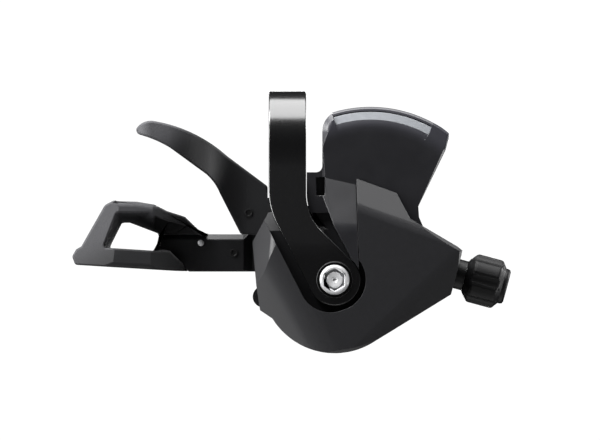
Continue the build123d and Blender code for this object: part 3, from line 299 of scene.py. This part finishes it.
mixed = add(tree, "ShaderNodeMix", {
    "Factor": painted_sheen_near_lens.outputs["Result"], "A": tone.outputs["Color"], "B": linear("#38383e")},
    data_type="RGBA")
gloss = add(tree, "ShaderNodeMapRange", {
    "Value": ripple.outputs["Fac"], "To Min": 0.31, "To Max": 0.37})
bump = add(tree, "ShaderNodeBump", {
    "Height": ripple.outputs["Fac"], "Strength": 0.02, "Distance": 0.0001})
shader = add(tree, "ShaderNodeBsdfPrincipled", {
    "Base Color": mixed.outputs["Result"], "Roughness": gloss.outputs["Result"],
    "Normal": bump.outputs["Normal"], "IOR": 1.64})
add(tree, "ShaderNodeOutputMaterial", {"Surface": shader.outputs["BSDF"]})


def pick_edges(piece, test):
    """Selects the edges of a piece whose both ends pass a test of their place, in edit mode."""
    bpy.ops.object.mode_set(mode="EDIT")
    bpy.ops.mesh.select_mode(type="EDGE")
    bpy.ops.mesh.select_all(action="DESELECT")
    bpy.ops.object.mode_set(mode="OBJECT")
    for edge in piece.data.edges:
        edge.select = all(test(piece.data.vertices[i].co) for i in edge.vertices)
    bpy.ops.object.mode_set(mode="EDIT")


def spun_band(name, section, start, end):
    """Solid band round the fan's centre, from a section in millimetres of radius and depth."""
    bpy.ops.object.select_all(action="DESELECT")
    bpy.ops.mesh.primitive_circle_add(
        vertices=len(section), fill_type="NOTHING", location=(0, 0, 0))
    band = bpy.context.object
    band.name = name
    for vertex, (radius, y) in zip(band.data.vertices, section):
        reach = radius / 1000
        vertex.co = (fan_centre_x + reach * cos(start), y / 1000, fan_centre_z + reach * sin(start))
    bpy.ops.object.mode_set(mode="EDIT")
    bpy.ops.mesh.select_all(action="SELECT")
    bpy.ops.mesh.spin(steps=40, angle=end - start, center=fan_centre, axis=(0, 1, 0))
    bpy.ops.mesh.select_all(action="SELECT")
    bpy.ops.mesh.remove_doubles(threshold=0.000001)
    bpy.ops.mesh.fill_holes(sides=0)
    bpy.ops.mesh.select_all(action="SELECT")
    bpy.ops.mesh.normals_make_consistent(inside=False)
    bpy.ops.object.mode_set(mode="OBJECT")
    return band


# Along the lens the fan's face curves back, in millimetres of radius and depth.
fan = work_copy("moulded_fan", "indicator_housing")
fan_face, on_face = -0.0178, 0.0001
lens_start, lens_end = radians(61), radians(107)
scoop_section = [(30.9, -18.3), (30.9, -17.8), (31.5, -17.768), (32.1, -17.672), (32.7, -17.512),
                 (33.2, -17.329), (33.75, -17.077), (33.75, -18.3)]
scoop = spun_band("scoop", scoop_section, lens_start, lens_end)
combine(fan, scoop, "DIFFERENCE")

# The left edge is sharp below and opens into a soft corner beside the lens.
chamfer_x, wall_x, corner_x, corner_z = 0.0113, 0.0097, 0.0125, 0.0031
fade_z, chamfer_low_z = -0.001, -0.0116
fade_move, low_move = (wall_x + 0.0001 - chamfer_x, 0, 0), (-0.0009, 0, 0.00197)
corner_radius, near = 0.0007, 0.00006
bpy.ops.object.mode_set(mode="EDIT")
bpy.ops.mesh.select_all(action="SELECT")
bpy.ops.mesh.bisect(plane_co=(0, 0, fade_z), plane_no=(0, 0, 1))
bpy.ops.mesh.select_mode(type="VERT")
for at_z, move in ((fade_z, fade_move), (chamfer_low_z, low_move)):
    bpy.ops.mesh.select_all(action="DESELECT")
    bpy.ops.object.mode_set(mode="OBJECT")
    for vertex in fan.data.vertices:
        vertex.select = (vertex.co - Vector((chamfer_x, fan_face, at_z))).length < near
    bpy.ops.object.mode_set(mode="EDIT")
    bpy.ops.transform.translate(value=move)
pick_edges(fan, lambda p: abs(p.y - fan_face) < on_face and p.x < corner_x and p.z > corner_z)
bpy.ops.mesh.bevel(offset=corner_radius, segments=4)

# At the right corner the rim is steep, and the right edge below it is rounded.
rim_back, rim_margin, rim_lift, rim_left_x, rim_radius = -0.0162, 0.0002, 0.00125, 0.0401, 0.03505
edge_low_x, edge_low_z, edge_high_x, edge_high_z = 0.0363, -0.0177, 0.042, 0.0025
edge_radius = 0.0006
bpy.ops.object.mode_set(mode="OBJECT")
on_rim = [v for v in fan.data.vertices if v.co.y < rim_back - rim_margin and v.co.x > rim_left_x
          and (Vector((v.co.x, 0, v.co.z)) - fan_centre).length > rim_radius]
levels = sorted({round(v.co.y, 5) for v in on_rim})
groups = [[v.index for v in on_rim if round(v.co.y, 5) == level] for level in levels]
for level, group in zip(levels, groups):
    bpy.ops.object.mode_set(mode="EDIT")
    bpy.ops.mesh.select_mode(type="VERT")
    bpy.ops.mesh.select_all(action="DESELECT")
    bpy.ops.object.mode_set(mode="OBJECT")
    for i in group:
        fan.data.vertices[i].select = True
    bpy.ops.object.mode_set(mode="EDIT")
    bpy.ops.transform.translate(value=(0, 0, rim_lift * (rim_back - level) / (rim_back - fan_face)))
    bpy.ops.object.mode_set(mode="OBJECT")
pick_edges(fan, lambda p: abs(p.y - fan_face) < on_face and edge_low_z < p.z < edge_high_z
           and p.x > (edge_low_x if p.z < 0 else edge_high_x))
bpy.ops.mesh.bevel(offset=edge_radius, segments=2)
bpy.ops.object.mode_set(mode="OBJECT")
dress(polished_black, "moulded_fan", "indicator_back")
round_edges(0.0001, "moulded_fan")
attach(fan, "shifter_body")
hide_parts("indicator_housing")

# Smoked polycarbonate, moulded: half clear, with a faint haze of fine scratches. Its colour is
# painted pale grey as a painted reflection of the light above on the dark window.
smoked_lens_painted_reflection, tree = new_tree("smoked_polycarbonate_lens_painted_reflection")
place = add(tree, "ShaderNodeTexCoord", {})
haze = add(tree, "ShaderNodeTexNoise", {
    "Vector": place.outputs["Object"], "Scale": 1 / 0.0015, "Detail": 3.0})
# Painted reflection: the pale grey stands in for the light above reflected in the dark smoked
# window.
tone = add(tree, "ShaderNodeValToRGB", {"Fac": haze.outputs["Fac"]})
tone.color_ramp.elements[0].color = linear("#a4a7ac")
tone.color_ramp.elements[1].color = linear("#b6b9be")
gloss = add(tree, "ShaderNodeMapRange", {
    "Value": haze.outputs["Fac"], "To Min": 0.16, "To Max": 0.28})
shader = add(tree, "ShaderNodeBsdfPrincipled", {
    "Base Color": tone.outputs["Color"], "Roughness": gloss.outputs["Result"],
    "Transmission Weight": 0.3, "IOR": 1.58})
add(tree, "ShaderNodeOutputMaterial", {"Surface": shader.outputs["BSDF"]})

# Clear polycarbonate, polished: the rider looks down through the rim at the pointer.
clear_rim, tree = new_tree("polished_polycarbonate_clear")
place = add(tree, "ShaderNodeTexCoord", {})
wiped = add(tree, "ShaderNodeTexNoise", {
    "Vector": place.outputs["Object"], "Scale": 1 / 0.0015, "Detail": 3.0})
tone = add(tree, "ShaderNodeValToRGB", {"Fac": wiped.outputs["Fac"]})
tone.color_ramp.elements[0].color = linear("#eceeef")
tone.color_ramp.elements[1].color = linear("#f8f9fa")
gloss = add(tree, "ShaderNodeMapRange", {
    "Value": wiped.outputs["Fac"], "To Min": 0.02, "To Max": 0.08})
shader = add(tree, "ShaderNodeBsdfPrincipled", {
    "Base Color": tone.outputs["Color"], "Roughness": gloss.outputs["Result"],
    "Transmission Weight": 0.97, "IOR": 1.45})
add(tree, "ShaderNodeOutputMaterial", {"Surface": shader.outputs["BSDF"]})

# The lens is one band round the fan's centre, in millimetres of radius and depth: the window, a
# black line, and a rounded lip over the rim.
line_inner, line_outer, lip_back = 35.25, 35.55, -15.6
lens_section = [(33.1, -17.42), (35.15, -16.75),
                (line_inner, -16.6), (line_inner, -16.25),
                (line_outer, -16.25), (line_outer, -16.6),
                (36.1, -16.45), (36.5, -16.1), (36.65, lip_back), (36.65, -13.35),
                (34.8, -13.35), (34.8, -16.2), (33.55, -16.2), (33.1, -17.2)]
lens = spun_band("moulded_lens", lens_section, lens_start, lens_end)
bpy.ops.object.shade_smooth_by_angle(angle=radians(20))
for finish in (smoked_lens_painted_reflection, polished_black, clear_rim):
    lens.data.materials.append(finish)
for face in lens.data.polygons:
    reach = (Vector((face.center.x, 0, face.center.z)) - fan_centre).length * 1000
    if face.center.y * 1000 > lip_back + 0.1:
        face.material_index = 2
    elif reach > line_inner - 0.05:
        face.material_index = 1
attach(lens, "shifter_body")
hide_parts("indicator_lens")

# White print on acetal: the pale band behind the lens, dull, with the grain of the print.
printed_white, tree = new_tree("printed_white_acetal")
place = add(tree, "ShaderNodeTexCoord", {})
print_grain = add(tree, "ShaderNodeTexNoise", {
    "Vector": place.outputs["Object"], "Scale": 1 / 0.001})
tone = add(tree, "ShaderNodeValToRGB", {"Fac": print_grain.outputs["Fac"]})
tone.color_ramp.elements[0].color = linear("#d8d8d2")
tone.color_ramp.elements[1].color = linear("#e6e6e2")
gloss = add(tree, "ShaderNodeMapRange", {
    "Value": print_grain.outputs["Fac"], "To Min": 0.45, "To Max": 0.55})
shader = add(tree, "ShaderNodeBsdfPrincipled", {
    "Base Color": tone.outputs["Color"], "Roughness": gloss.outputs["Result"]})
add(tree, "ShaderNodeOutputMaterial", {"Surface": shader.outputs["BSDF"]})
dress(printed_white, "indicator_dial")

# Orange acetal, moulded: the bright pointer that crosses the band, slightly streaked by the flow.
pointer_orange, tree = new_tree("moulded_acetal_orange")
place = add(tree, "ShaderNodeTexCoord", {})
flow = add(tree, "ShaderNodeTexNoise", {"Vector": place.outputs["Object"], "Scale": 1 / 0.002})
tone = add(tree, "ShaderNodeValToRGB", {"Fac": flow.outputs["Fac"]})
tone.color_ramp.elements[0].color = linear("#d2501c")
tone.color_ramp.elements[1].color = linear("#e2622a")
gloss = add(tree, "ShaderNodeMapRange", {
    "Value": flow.outputs["Fac"], "To Min": 0.36, "To Max": 0.44})
shader = add(tree, "ShaderNodeBsdfPrincipled", {
    "Base Color": tone.outputs["Color"], "Roughness": gloss.outputs["Result"]})
add(tree, "ShaderNodeOutputMaterial", {"Surface": shader.outputs["BSDF"]})
dress(pointer_orange, "indicator_pointer")


# Trigger: the upper lever, which lets the spool go back. It is moulded in glass-filled nylon, as
# the thumb paddle is, and turns on the axle between the covers.
# Black nylon with glass fibres: stippled by the mould where the finger or thumb presses, smoother
# towards the pivot. Its colour is painted lighter grey towards the upper left, where the light
# falls, as a painted highlight, and darker towards the pivot. The stipple is really about 0.3 mm,
# and drawn at 0.6 mm so that it shows.
levers = {}
towards_lit_upper_left = (-0.5, 0.0, 0.87)
for lever, plain_from, pad_highlight_from, pad_highlight_tone, shine in (
    ("trigger", 0.012, 0.022, "#4c4c4f", 0.35),
    ("paddle", -0.005, 0.005, "#3c3c3f", 0.45),
):
    nylon, tree = new_tree("glass_filled_nylon_" + lever)
    place = add(tree, "ShaderNodeTexCoord", {})
    reach = add(tree, "ShaderNodeVectorMath", {
        0: place.outputs["Object"], 1: towards_lit_upper_left}, operation="DOT_PRODUCT")
    # Painted highlight: the colour turns lighter grey towards the upper left, where the light
    # falls; the same mask deepens the real stipple.
    pad_and_highlight = add(tree, "ShaderNodeMapRange", {
        "Value": reach.outputs["Value"], "From Min": plain_from, "From Max": pad_highlight_from},
        interpolation_type="SMOOTHSTEP")
    fibre = add(tree, "ShaderNodeTexNoise", {
        "Vector": place.outputs["Object"], "Scale": 1 / 0.0006, "Detail": 5.0})
    tone = add(tree, "ShaderNodeValToRGB", {"Fac": fibre.outputs["Fac"]})
    tone.color_ramp.elements[0].color = linear("#0f0f11")
    tone.color_ramp.elements[1].color = linear("#17171a")
    mixed = add(tree, "ShaderNodeMix", {
        "Factor": pad_and_highlight.outputs["Result"], "A": tone.outputs["Color"], "B": linear(pad_highlight_tone)},
        data_type="RGBA")
    gloss = add(tree, "ShaderNodeMapRange", {
        "Value": fibre.outputs["Fac"], "To Min": 0.56, "To Max": 0.7})
    depth = add(tree, "ShaderNodeMapRange", {
        "Value": pad_and_highlight.outputs["Result"], "To Min": 0.1, "To Max": 0.45})
    bump = add(tree, "ShaderNodeBump", {
        "Height": fibre.outputs["Fac"], "Strength": depth.outputs["Result"], "Distance": 0.0001})
    shader = add(tree, "ShaderNodeBsdfPrincipled", {
        "Base Color": mixed.outputs["Result"], "Roughness": gloss.outputs["Result"],
        "Normal": bump.outputs["Normal"], "IOR": 1.53, "Specular IOR Level": shine})
    add(tree, "ShaderNodeOutputMaterial", {"Surface": shader.outputs["BSDF"]})
    levers[lever] = nylon
dress(levers["trigger"], "release_lever")
round_edges(0.0006, "release_lever")


# Thumb paddle: the pad that the thumb pushes, moulded in the same nylon round the end of the steel
# arm. Its two bars run out on the arm, so the arm's face is seen right of the hole. The outline of
# what is cut away between them is in millimetres of X and Z.
paddle = work_copy("moulded_paddle", "thumb_paddle")
arm_front, touch, cut_depth = -0.0059, 0.0001, 0.015
between_bars = [(-27.9, -23.1), (-24.9, -25.6), (-23.5, -25.7), (-19.9, -25.7), (-19.9, -36.0),
                (-28.4, -36.0), (-29.1, -33.6), (-32.4, -30.4), (-32.4, -26.0)]
bpy.ops.object.select_all(action="DESELECT")
bpy.ops.mesh.primitive_circle_add(vertices=len(between_bars), fill_type="NGON", location=(0, 0, 0))
cutter = bpy.context.object
for vertex, (x, z) in zip(cutter.data.vertices, between_bars):
    vertex.co = (x / 1000, arm_front + touch, z / 1000)
bpy.ops.object.mode_set(mode="EDIT")
bpy.ops.mesh.select_all(action="SELECT")
bpy.ops.mesh.extrude_region_move(TRANSFORM_OT_translate={"value": (0, -cut_depth, 0)})
bpy.ops.mesh.select_all(action="SELECT")
bpy.ops.mesh.normals_make_consistent(inside=False)
bpy.ops.object.mode_set(mode="OBJECT")
combine(paddle, cutter, "DIFFERENCE")
dress(levers["paddle"], "moulded_paddle")
round_edges(0.0005, "moulded_paddle")
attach(paddle, "thumb_lever")
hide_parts("thumb_paddle")


# Thumb arm: a 2 mm steel plate that turns on the axle and carries the paddle. Its top edge is
# pressed over, and it steps back where it enters the covers.
# Dip-painted black steel: smooth, with the slight waves of the dried coat.
coated_steel, tree = new_tree("e_coated_steel_black")
place = add(tree, "ShaderNodeTexCoord", {})
coat_waves = add(tree, "ShaderNodeTexNoise", {
    "Vector": place.outputs["Object"], "Scale": 1 / 0.0012, "Detail": 2.0})
tone = add(tree, "ShaderNodeValToRGB", {"Fac": coat_waves.outputs["Fac"]})
tone.color_ramp.elements[0].color = linear("#18181a")
tone.color_ramp.elements[1].color = linear("#1e1e20")
gloss = add(tree, "ShaderNodeMapRange", {
    "Value": coat_waves.outputs["Fac"], "To Min": 0.34, "To Max": 0.42})
bump = add(tree, "ShaderNodeBump", {
    "Height": coat_waves.outputs["Fac"], "Strength": 0.05, "Distance": 0.0001})
shader = add(tree, "ShaderNodeBsdfPrincipled", {
    "Base Color": tone.outputs["Color"], "Roughness": gloss.outputs["Result"],
    "Normal": bump.outputs["Normal"]})
add(tree, "ShaderNodeOutputMaterial", {"Surface": shader.outputs["BSDF"]})

arm = work_copy("pressed_arm", "thumb_arm")
arm_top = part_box("thumb_arm")[1].z
step_start, step_end, step_depth = -0.0123, -0.0098, 0.0013
flange = 0.0015
bpy.ops.object.mode_set(mode="EDIT")
for cut_x in (step_start, step_end):
    bpy.ops.mesh.select_all(action="SELECT")
    bpy.ops.mesh.bisect(plane_co=(cut_x, 0, 0), plane_no=(1, 0, 0))
pick_edges(arm, lambda p: p.x < step_start + touch and p.y < arm_front + touch
           and p.z > arm_top - touch)
bpy.ops.mesh.bevel(offset=flange, segments=1)
pick_edges(arm, lambda p: p.x > step_end - touch and p.y < arm_front + touch)
bpy.ops.transform.translate(value=(0, step_depth, 0))
bpy.ops.object.mode_set(mode="OBJECT")
dress(coated_steel, "pressed_arm")
round_edges(0.00025, "pressed_arm")
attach(arm, "thumb_lever")
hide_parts("thumb_arm")


# Rivets: two dished ones of black steel hold the trigger's and the arm's inner parts, a domed
# bright one holds the paddle on the arm. Each is set by a press.
# Phosphated steel: dull black, scuffed by the press.
phosphated, tree = new_tree("phosphated_steel_rivet")
place = add(tree, "ShaderNodeTexCoord", {})
scuff = add(tree, "ShaderNodeTexNoise", {
    "Vector": place.outputs["Object"], "Scale": 1 / 0.0004, "Detail": 3.0})
tone = add(tree, "ShaderNodeValToRGB", {"Fac": scuff.outputs["Fac"]})
tone.color_ramp.elements[0].color = linear("#0c0c0d")
tone.color_ramp.elements[1].color = linear("#1a1a1b")
gloss = add(tree, "ShaderNodeMapRange", {
    "Value": scuff.outputs["Fac"], "To Min": 0.34, "To Max": 0.46})
shader = add(tree, "ShaderNodeBsdfPrincipled", {
    "Base Color": tone.outputs["Color"], "Roughness": gloss.outputs["Result"]})
add(tree, "ShaderNodeOutputMaterial", {"Surface": shader.outputs["BSDF"]})
rivet_radius, rivet_height, rivet_dish = 0.00115, 0.0003, 0.0002
rivet_edge, rivet_rim, dish_slope = 0.0001, 0.00025, 0.00015
arm_rivet_place = (-0.01497, arm_front, -0.03055)
trigger_rivet_place = (-0.0108, -0.0095, -0.0194)
bpy.ops.object.select_all(action="DESELECT")
bpy.ops.mesh.primitive_cylinder_add(
    vertices=24, radius=rivet_radius, depth=2 * rivet_height, location=arm_rivet_place,
    rotation=(radians(90), 0, 0))
bpy.ops.object.transform_apply(location=True, rotation=True, scale=True)
arm_rivet = bpy.context.object
arm_rivet.name = "arm_rivet"
pick_faces(arm_rivet, lambda centre, normal: normal.y < -0.9)
bpy.ops.mesh.bevel(offset=rivet_edge, segments=2)
pick_faces(arm_rivet, lambda centre, normal: normal.y < -0.99)
bpy.ops.mesh.inset(thickness=rivet_rim)
bpy.ops.mesh.inset(thickness=dish_slope)
bpy.ops.transform.translate(value=(0, rivet_dish, 0))
bpy.ops.object.mode_set(mode="OBJECT")
bpy.ops.object.shade_smooth_by_angle(angle=radians(30))
bpy.ops.object.duplicate()
trigger_rivet = bpy.context.object
trigger_rivet.name = "trigger_rivet"
bpy.ops.transform.translate(value=[b - a for a, b in zip(arm_rivet_place, trigger_rivet_place)])
bpy.ops.object.transform_apply(location=True, rotation=True, scale=True)
dress(phosphated, "arm_rivet", "trigger_rivet")
bpy.ops.object.select_all(action="DESELECT")
dome_radius, dome_flatness, dome_place = 0.0009, 0.55, (-0.02414, arm_front, -0.0278)
bpy.ops.mesh.primitive_uv_sphere_add(
    segments=24, ring_count=12, radius=dome_radius, location=dome_place)
bpy.ops.transform.resize(value=(1, dome_flatness, 1))
bpy.ops.object.transform_apply(location=True, rotation=True, scale=True)
paddle_rivet = bpy.context.object
paddle_rivet.name = "paddle_rivet"
bpy.ops.object.mode_set(mode="EDIT")
bpy.ops.mesh.select_all(action="SELECT")
bpy.ops.mesh.bisect(
    plane_co=(0, arm_front + touch, 0), plane_no=(0, 1, 0), clear_outer=True, use_fill=True)
bpy.ops.object.mode_set(mode="OBJECT")
bpy.ops.object.shade_smooth_by_angle(angle=radians(40))
dress(bright_steel, "paddle_rivet")
for rivet, body, slot in (
    (arm_rivet, "thumb_lever", "lever_steel"),
    (trigger_rivet, "release_lever", "lever_plastic"),
    (paddle_rivet, "thumb_lever", "lever_steel"),
):
    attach(rivet, body)


# Mechanism between the covers: plate, pawls and pins are pressed or turned from steel and sit round
# one axle, with a washer and nut. The cover screws are of the same steel.
# Zinc plate: pale grey metal with a faint cloudy spangle.
zinc, tree = new_tree("zinc_plated_steel")
place = add(tree, "ShaderNodeTexCoord", {})
spangle = add(tree, "ShaderNodeTexNoise", {
    "Vector": place.outputs["Object"], "Scale": 1 / 0.0015, "Detail": 3.0})
tone = add(tree, "ShaderNodeValToRGB", {"Fac": spangle.outputs["Fac"]})
tone.color_ramp.elements[0].color = linear("#8c9094")
tone.color_ramp.elements[1].color = linear("#b4b7ba")
gloss = add(tree, "ShaderNodeMapRange", {
    "Value": spangle.outputs["Fac"], "To Min": 0.3, "To Max": 0.45})
shader = add(tree, "ShaderNodeBsdfPrincipled", {
    "Base Color": tone.outputs["Color"], "Metallic": 1.0, "Roughness": gloss.outputs["Result"]})
add(tree, "ShaderNodeOutputMaterial", {"Surface": shader.outputs["BSDF"]})
dress(zinc, "main_axle", "axle_washer", "axle_nut", "base_plate", "feed_pawl", "feed_pawl_pin",
      "hold_pawl", "hold_pawl_pin", "indicator_spindle", "cover_screws")


# Springs: three coils that turn the levers and the spool back, and one in the adjuster that keeps
# its knob from turning by itself. Spring steel wire, wound cold.
# Oil-tempered wire: dark grey metal with the uneven skin of its heat treatment.
spring_wire, tree = new_tree("oil_tempered_spring_wire")
place = add(tree, "ShaderNodeTexCoord", {})
skin = add(tree, "ShaderNodeTexNoise", {"Vector": place.outputs["Object"], "Scale": 1 / 0.001})
tone = add(tree, "ShaderNodeValToRGB", {"Fac": skin.outputs["Fac"]})
tone.color_ramp.elements[0].color = linear("#4b4a4a")
tone.color_ramp.elements[1].color = linear("#6a6867")
gloss = add(tree, "ShaderNodeMapRange", {
    "Value": skin.outputs["Fac"], "To Min": 0.32, "To Max": 0.44})
shader = add(tree, "ShaderNodeBsdfPrincipled", {
    "Base Color": tone.outputs["Color"], "Metallic": 1.0, "Roughness": gloss.outputs["Result"]})
add(tree, "ShaderNodeOutputMaterial", {"Surface": shader.outputs["BSDF"]})
dress(spring_wire, "release_spring", "thumb_spring", "spool_spring", "adjuster_spring")


# Cable spool: the drum that winds the cable, with two rows of ratchet teeth. It is moulded in
# acetal and runs on the axle.
# Dark acetal: waxy grey, slightly streaked by the flow in the mould.
acetal, tree = new_tree("moulded_acetal_dark")
place = add(tree, "ShaderNodeTexCoord", {})
flow = add(tree, "ShaderNodeTexNoise", {"Vector": place.outputs["Object"], "Scale": 1 / 0.002})
tone = add(tree, "ShaderNodeValToRGB", {"Fac": flow.outputs["Fac"]})
tone.color_ramp.elements[0].color = linear("#4a4c50")
tone.color_ramp.elements[1].color = linear("#595b60")
gloss = add(tree, "ShaderNodeMapRange", {
    "Value": flow.outputs["Fac"], "To Min": 0.3, "To Max": 0.4})
shader = add(tree, "ShaderNodeBsdfPrincipled", {
    "Base Color": tone.outputs["Color"], "Roughness": gloss.outputs["Result"]})
add(tree, "ShaderNodeOutputMaterial", {"Surface": shader.outputs["BSDF"]})
dress(acetal, "cable_spool")


# Cable adjuster: a lobed knob and a plain neck moulded in nylon, on a hollow aluminium bolt that is
# screwed into the rear cover's boss.
# Matt black nylon: the darkest plastic here, with a fine grip texture drawn at 0.5 mm.
matt_black, tree = new_tree("moulded_nylon_matt_black")
place = add(tree, "ShaderNodeTexCoord", {})
grip = add(tree, "ShaderNodeTexNoise", {
    "Vector": place.outputs["Object"], "Scale": 1 / 0.0005, "Detail": 4.0})
tone = add(tree, "ShaderNodeValToRGB", {"Fac": grip.outputs["Fac"]})
tone.color_ramp.elements[0].color = linear("#09090a")
tone.color_ramp.elements[1].color = linear("#101012")
gloss = add(tree, "ShaderNodeMapRange", {
    "Value": grip.outputs["Fac"], "To Min": 0.42, "To Max": 0.5})
bump = add(tree, "ShaderNodeBump", {
    "Height": grip.outputs["Fac"], "Strength": 0.1, "Distance": 0.00008})
shader = add(tree, "ShaderNodeBsdfPrincipled", {
    "Base Color": tone.outputs["Color"], "Roughness": gloss.outputs["Result"],
    "Normal": bump.outputs["Normal"], "Specular IOR Level": 0.3})
add(tree, "ShaderNodeOutputMaterial", {"Surface": shader.outputs["BSDF"]})
dress(matt_black, "adjuster_knob", "adjuster_collar", "cable_plug")
round_edges(0.0005, "adjuster_knob")

# Turned aluminium: bright and silky from the lathe.
turned_aluminium, tree = new_tree("turned_aluminium")
place = add(tree, "ShaderNodeTexCoord", {})
feed_marks = add(tree, "ShaderNodeTexNoise", {
    "Vector": place.outputs["Object"], "Scale": 1 / 0.0008})
tone = add(tree, "ShaderNodeValToRGB", {"Fac": feed_marks.outputs["Fac"]})
tone.color_ramp.elements[0].color = linear("#a8a9ab")
tone.color_ramp.elements[1].color = linear("#c4c5c7")
gloss = add(tree, "ShaderNodeMapRange", {
    "Value": feed_marks.outputs["Fac"], "To Min": 0.28, "To Max": 0.38})
shader = add(tree, "ShaderNodeBsdfPrincipled", {
    "Base Color": tone.outputs["Color"], "Metallic": 1.0, "Roughness": gloss.outputs["Result"]})
add(tree, "ShaderNodeOutputMaterial", {"Surface": shader.outputs["BSDF"]})
dress(turned_aluminium, "adjuster_bolt")


# Studio: a pale floor well below the part and a white surround. One large soft light above and one
# at the upper left make the bright bands, softer ones at the sides fill in, and two light the back.
floor_drop, floor_size = 0.8, 0.9
bpy.ops.mesh.primitive_plane_add(size=floor_size, location=(0.0, 0.0, cad_low.z - floor_drop))
floor = bpy.context.object
floor.name = "studio_floor"
# Pale matt paint, rolled on, with faint clouds a few centimetres wide.
floor_paint, tree = new_tree("rolled_matt_floor_paint")
place = add(tree, "ShaderNodeTexCoord", {})
clouds = add(tree, "ShaderNodeTexNoise", {
    "Vector": place.outputs["Object"], "Scale": 1 / 0.02, "Detail": 3.0})
tone = add(tree, "ShaderNodeValToRGB", {"Fac": clouds.outputs["Fac"]})
tone.color_ramp.elements[0].color = linear("#cbcbcb")
tone.color_ramp.elements[1].color = linear("#d3d3d3")
shader = add(tree, "ShaderNodeBsdfPrincipled", {
    "Base Color": tone.outputs["Color"], "Roughness": 0.7})
add(tree, "ShaderNodeOutputMaterial", {"Surface": shader.outputs["BSDF"]})
floor.data.materials.append(floor_paint)

for name, stand, width, depth, power in (
    ("light_above", (0.0, -0.07, 0.6), 0.8, 0.66, 8.8),
    ("light_upper_left", (-0.47, -0.27, 0.63), 0.35, 0.35, 8.8),
    ("light_left", (-0.81, -0.22, 0.13), 0.5, 0.5, 8.8),
    ("light_low_left", (-0.8, 0.0, -0.31), 0.4, 0.4, 1.8),
    ("light_low_front", (0.0, -0.7, -0.5), 0.4, 0.3, 0.4),
    ("light_right", (0.83, -0.1, -0.2), 0.5, 0.5, 5.0),
    ("light_right_back", (0.7, 0.35, 0.25), 0.3, 0.3, 4.0),
    ("light_behind", (0.0, 0.9, 0.0), 0.3, 0.3, 3.0),
):
    bpy.ops.object.light_add(type="AREA", location=stand)
    light = bpy.context.object
    light.name = name
    if name != "light_above":
        light.rotation_euler = (-light.location).to_track_quat("-Z", "Y").to_euler()
    light.data.shape = "RECTANGLE"
    light.data.size = width
    light.data.size_y = depth
    light.data.energy = power
    light.visible_camera = False

# The surround is white behind the part, and dim in what the part reflects.
world = bpy.data.worlds.new("white_surround")
bpy.context.scene.world = world
world.use_nodes = True
tree = world.node_tree
tree.nodes.clear()
rays = add(tree, "ShaderNodeLightPath", {})
dim = add(tree, "ShaderNodeBackground", {"Color": linear("#ffffff"), "Strength": 0.02})
white = add(tree, "ShaderNodeBackground", {"Color": linear("#ffffff"), "Strength": 1.05})
mix = add(tree, "ShaderNodeMixShader", {"Fac": rays.outputs["Is Camera Ray"]})
tree.links.new(dim.outputs["Background"], mix.inputs[1])
tree.links.new(white.outputs["Background"], mix.inputs[2])
add(tree, "ShaderNodeOutputWorld", {"Surface": mix.outputs["Shader"]})
bpy.context.scene.view_settings.view_transform = "Standard"

# Camera: straight in front and far away, as in the photograph, with 166.7 mm across the picture.
view_width, camera_distance = 0.1667, 3.0
aim_x, front_y, aim_z = 0.0035, -0.0185, -0.0214
bpy.ops.object.camera_add(
    location=(aim_x, front_y - camera_distance, aim_z), rotation=(radians(90), 0, 0))
camera = bpy.context.object
camera.data.sensor_width = 36.0
camera.data.lens = camera.data.sensor_width * camera_distance / view_width
camera.data.clip_start = 0.1
bpy.context.scene.camera = camera
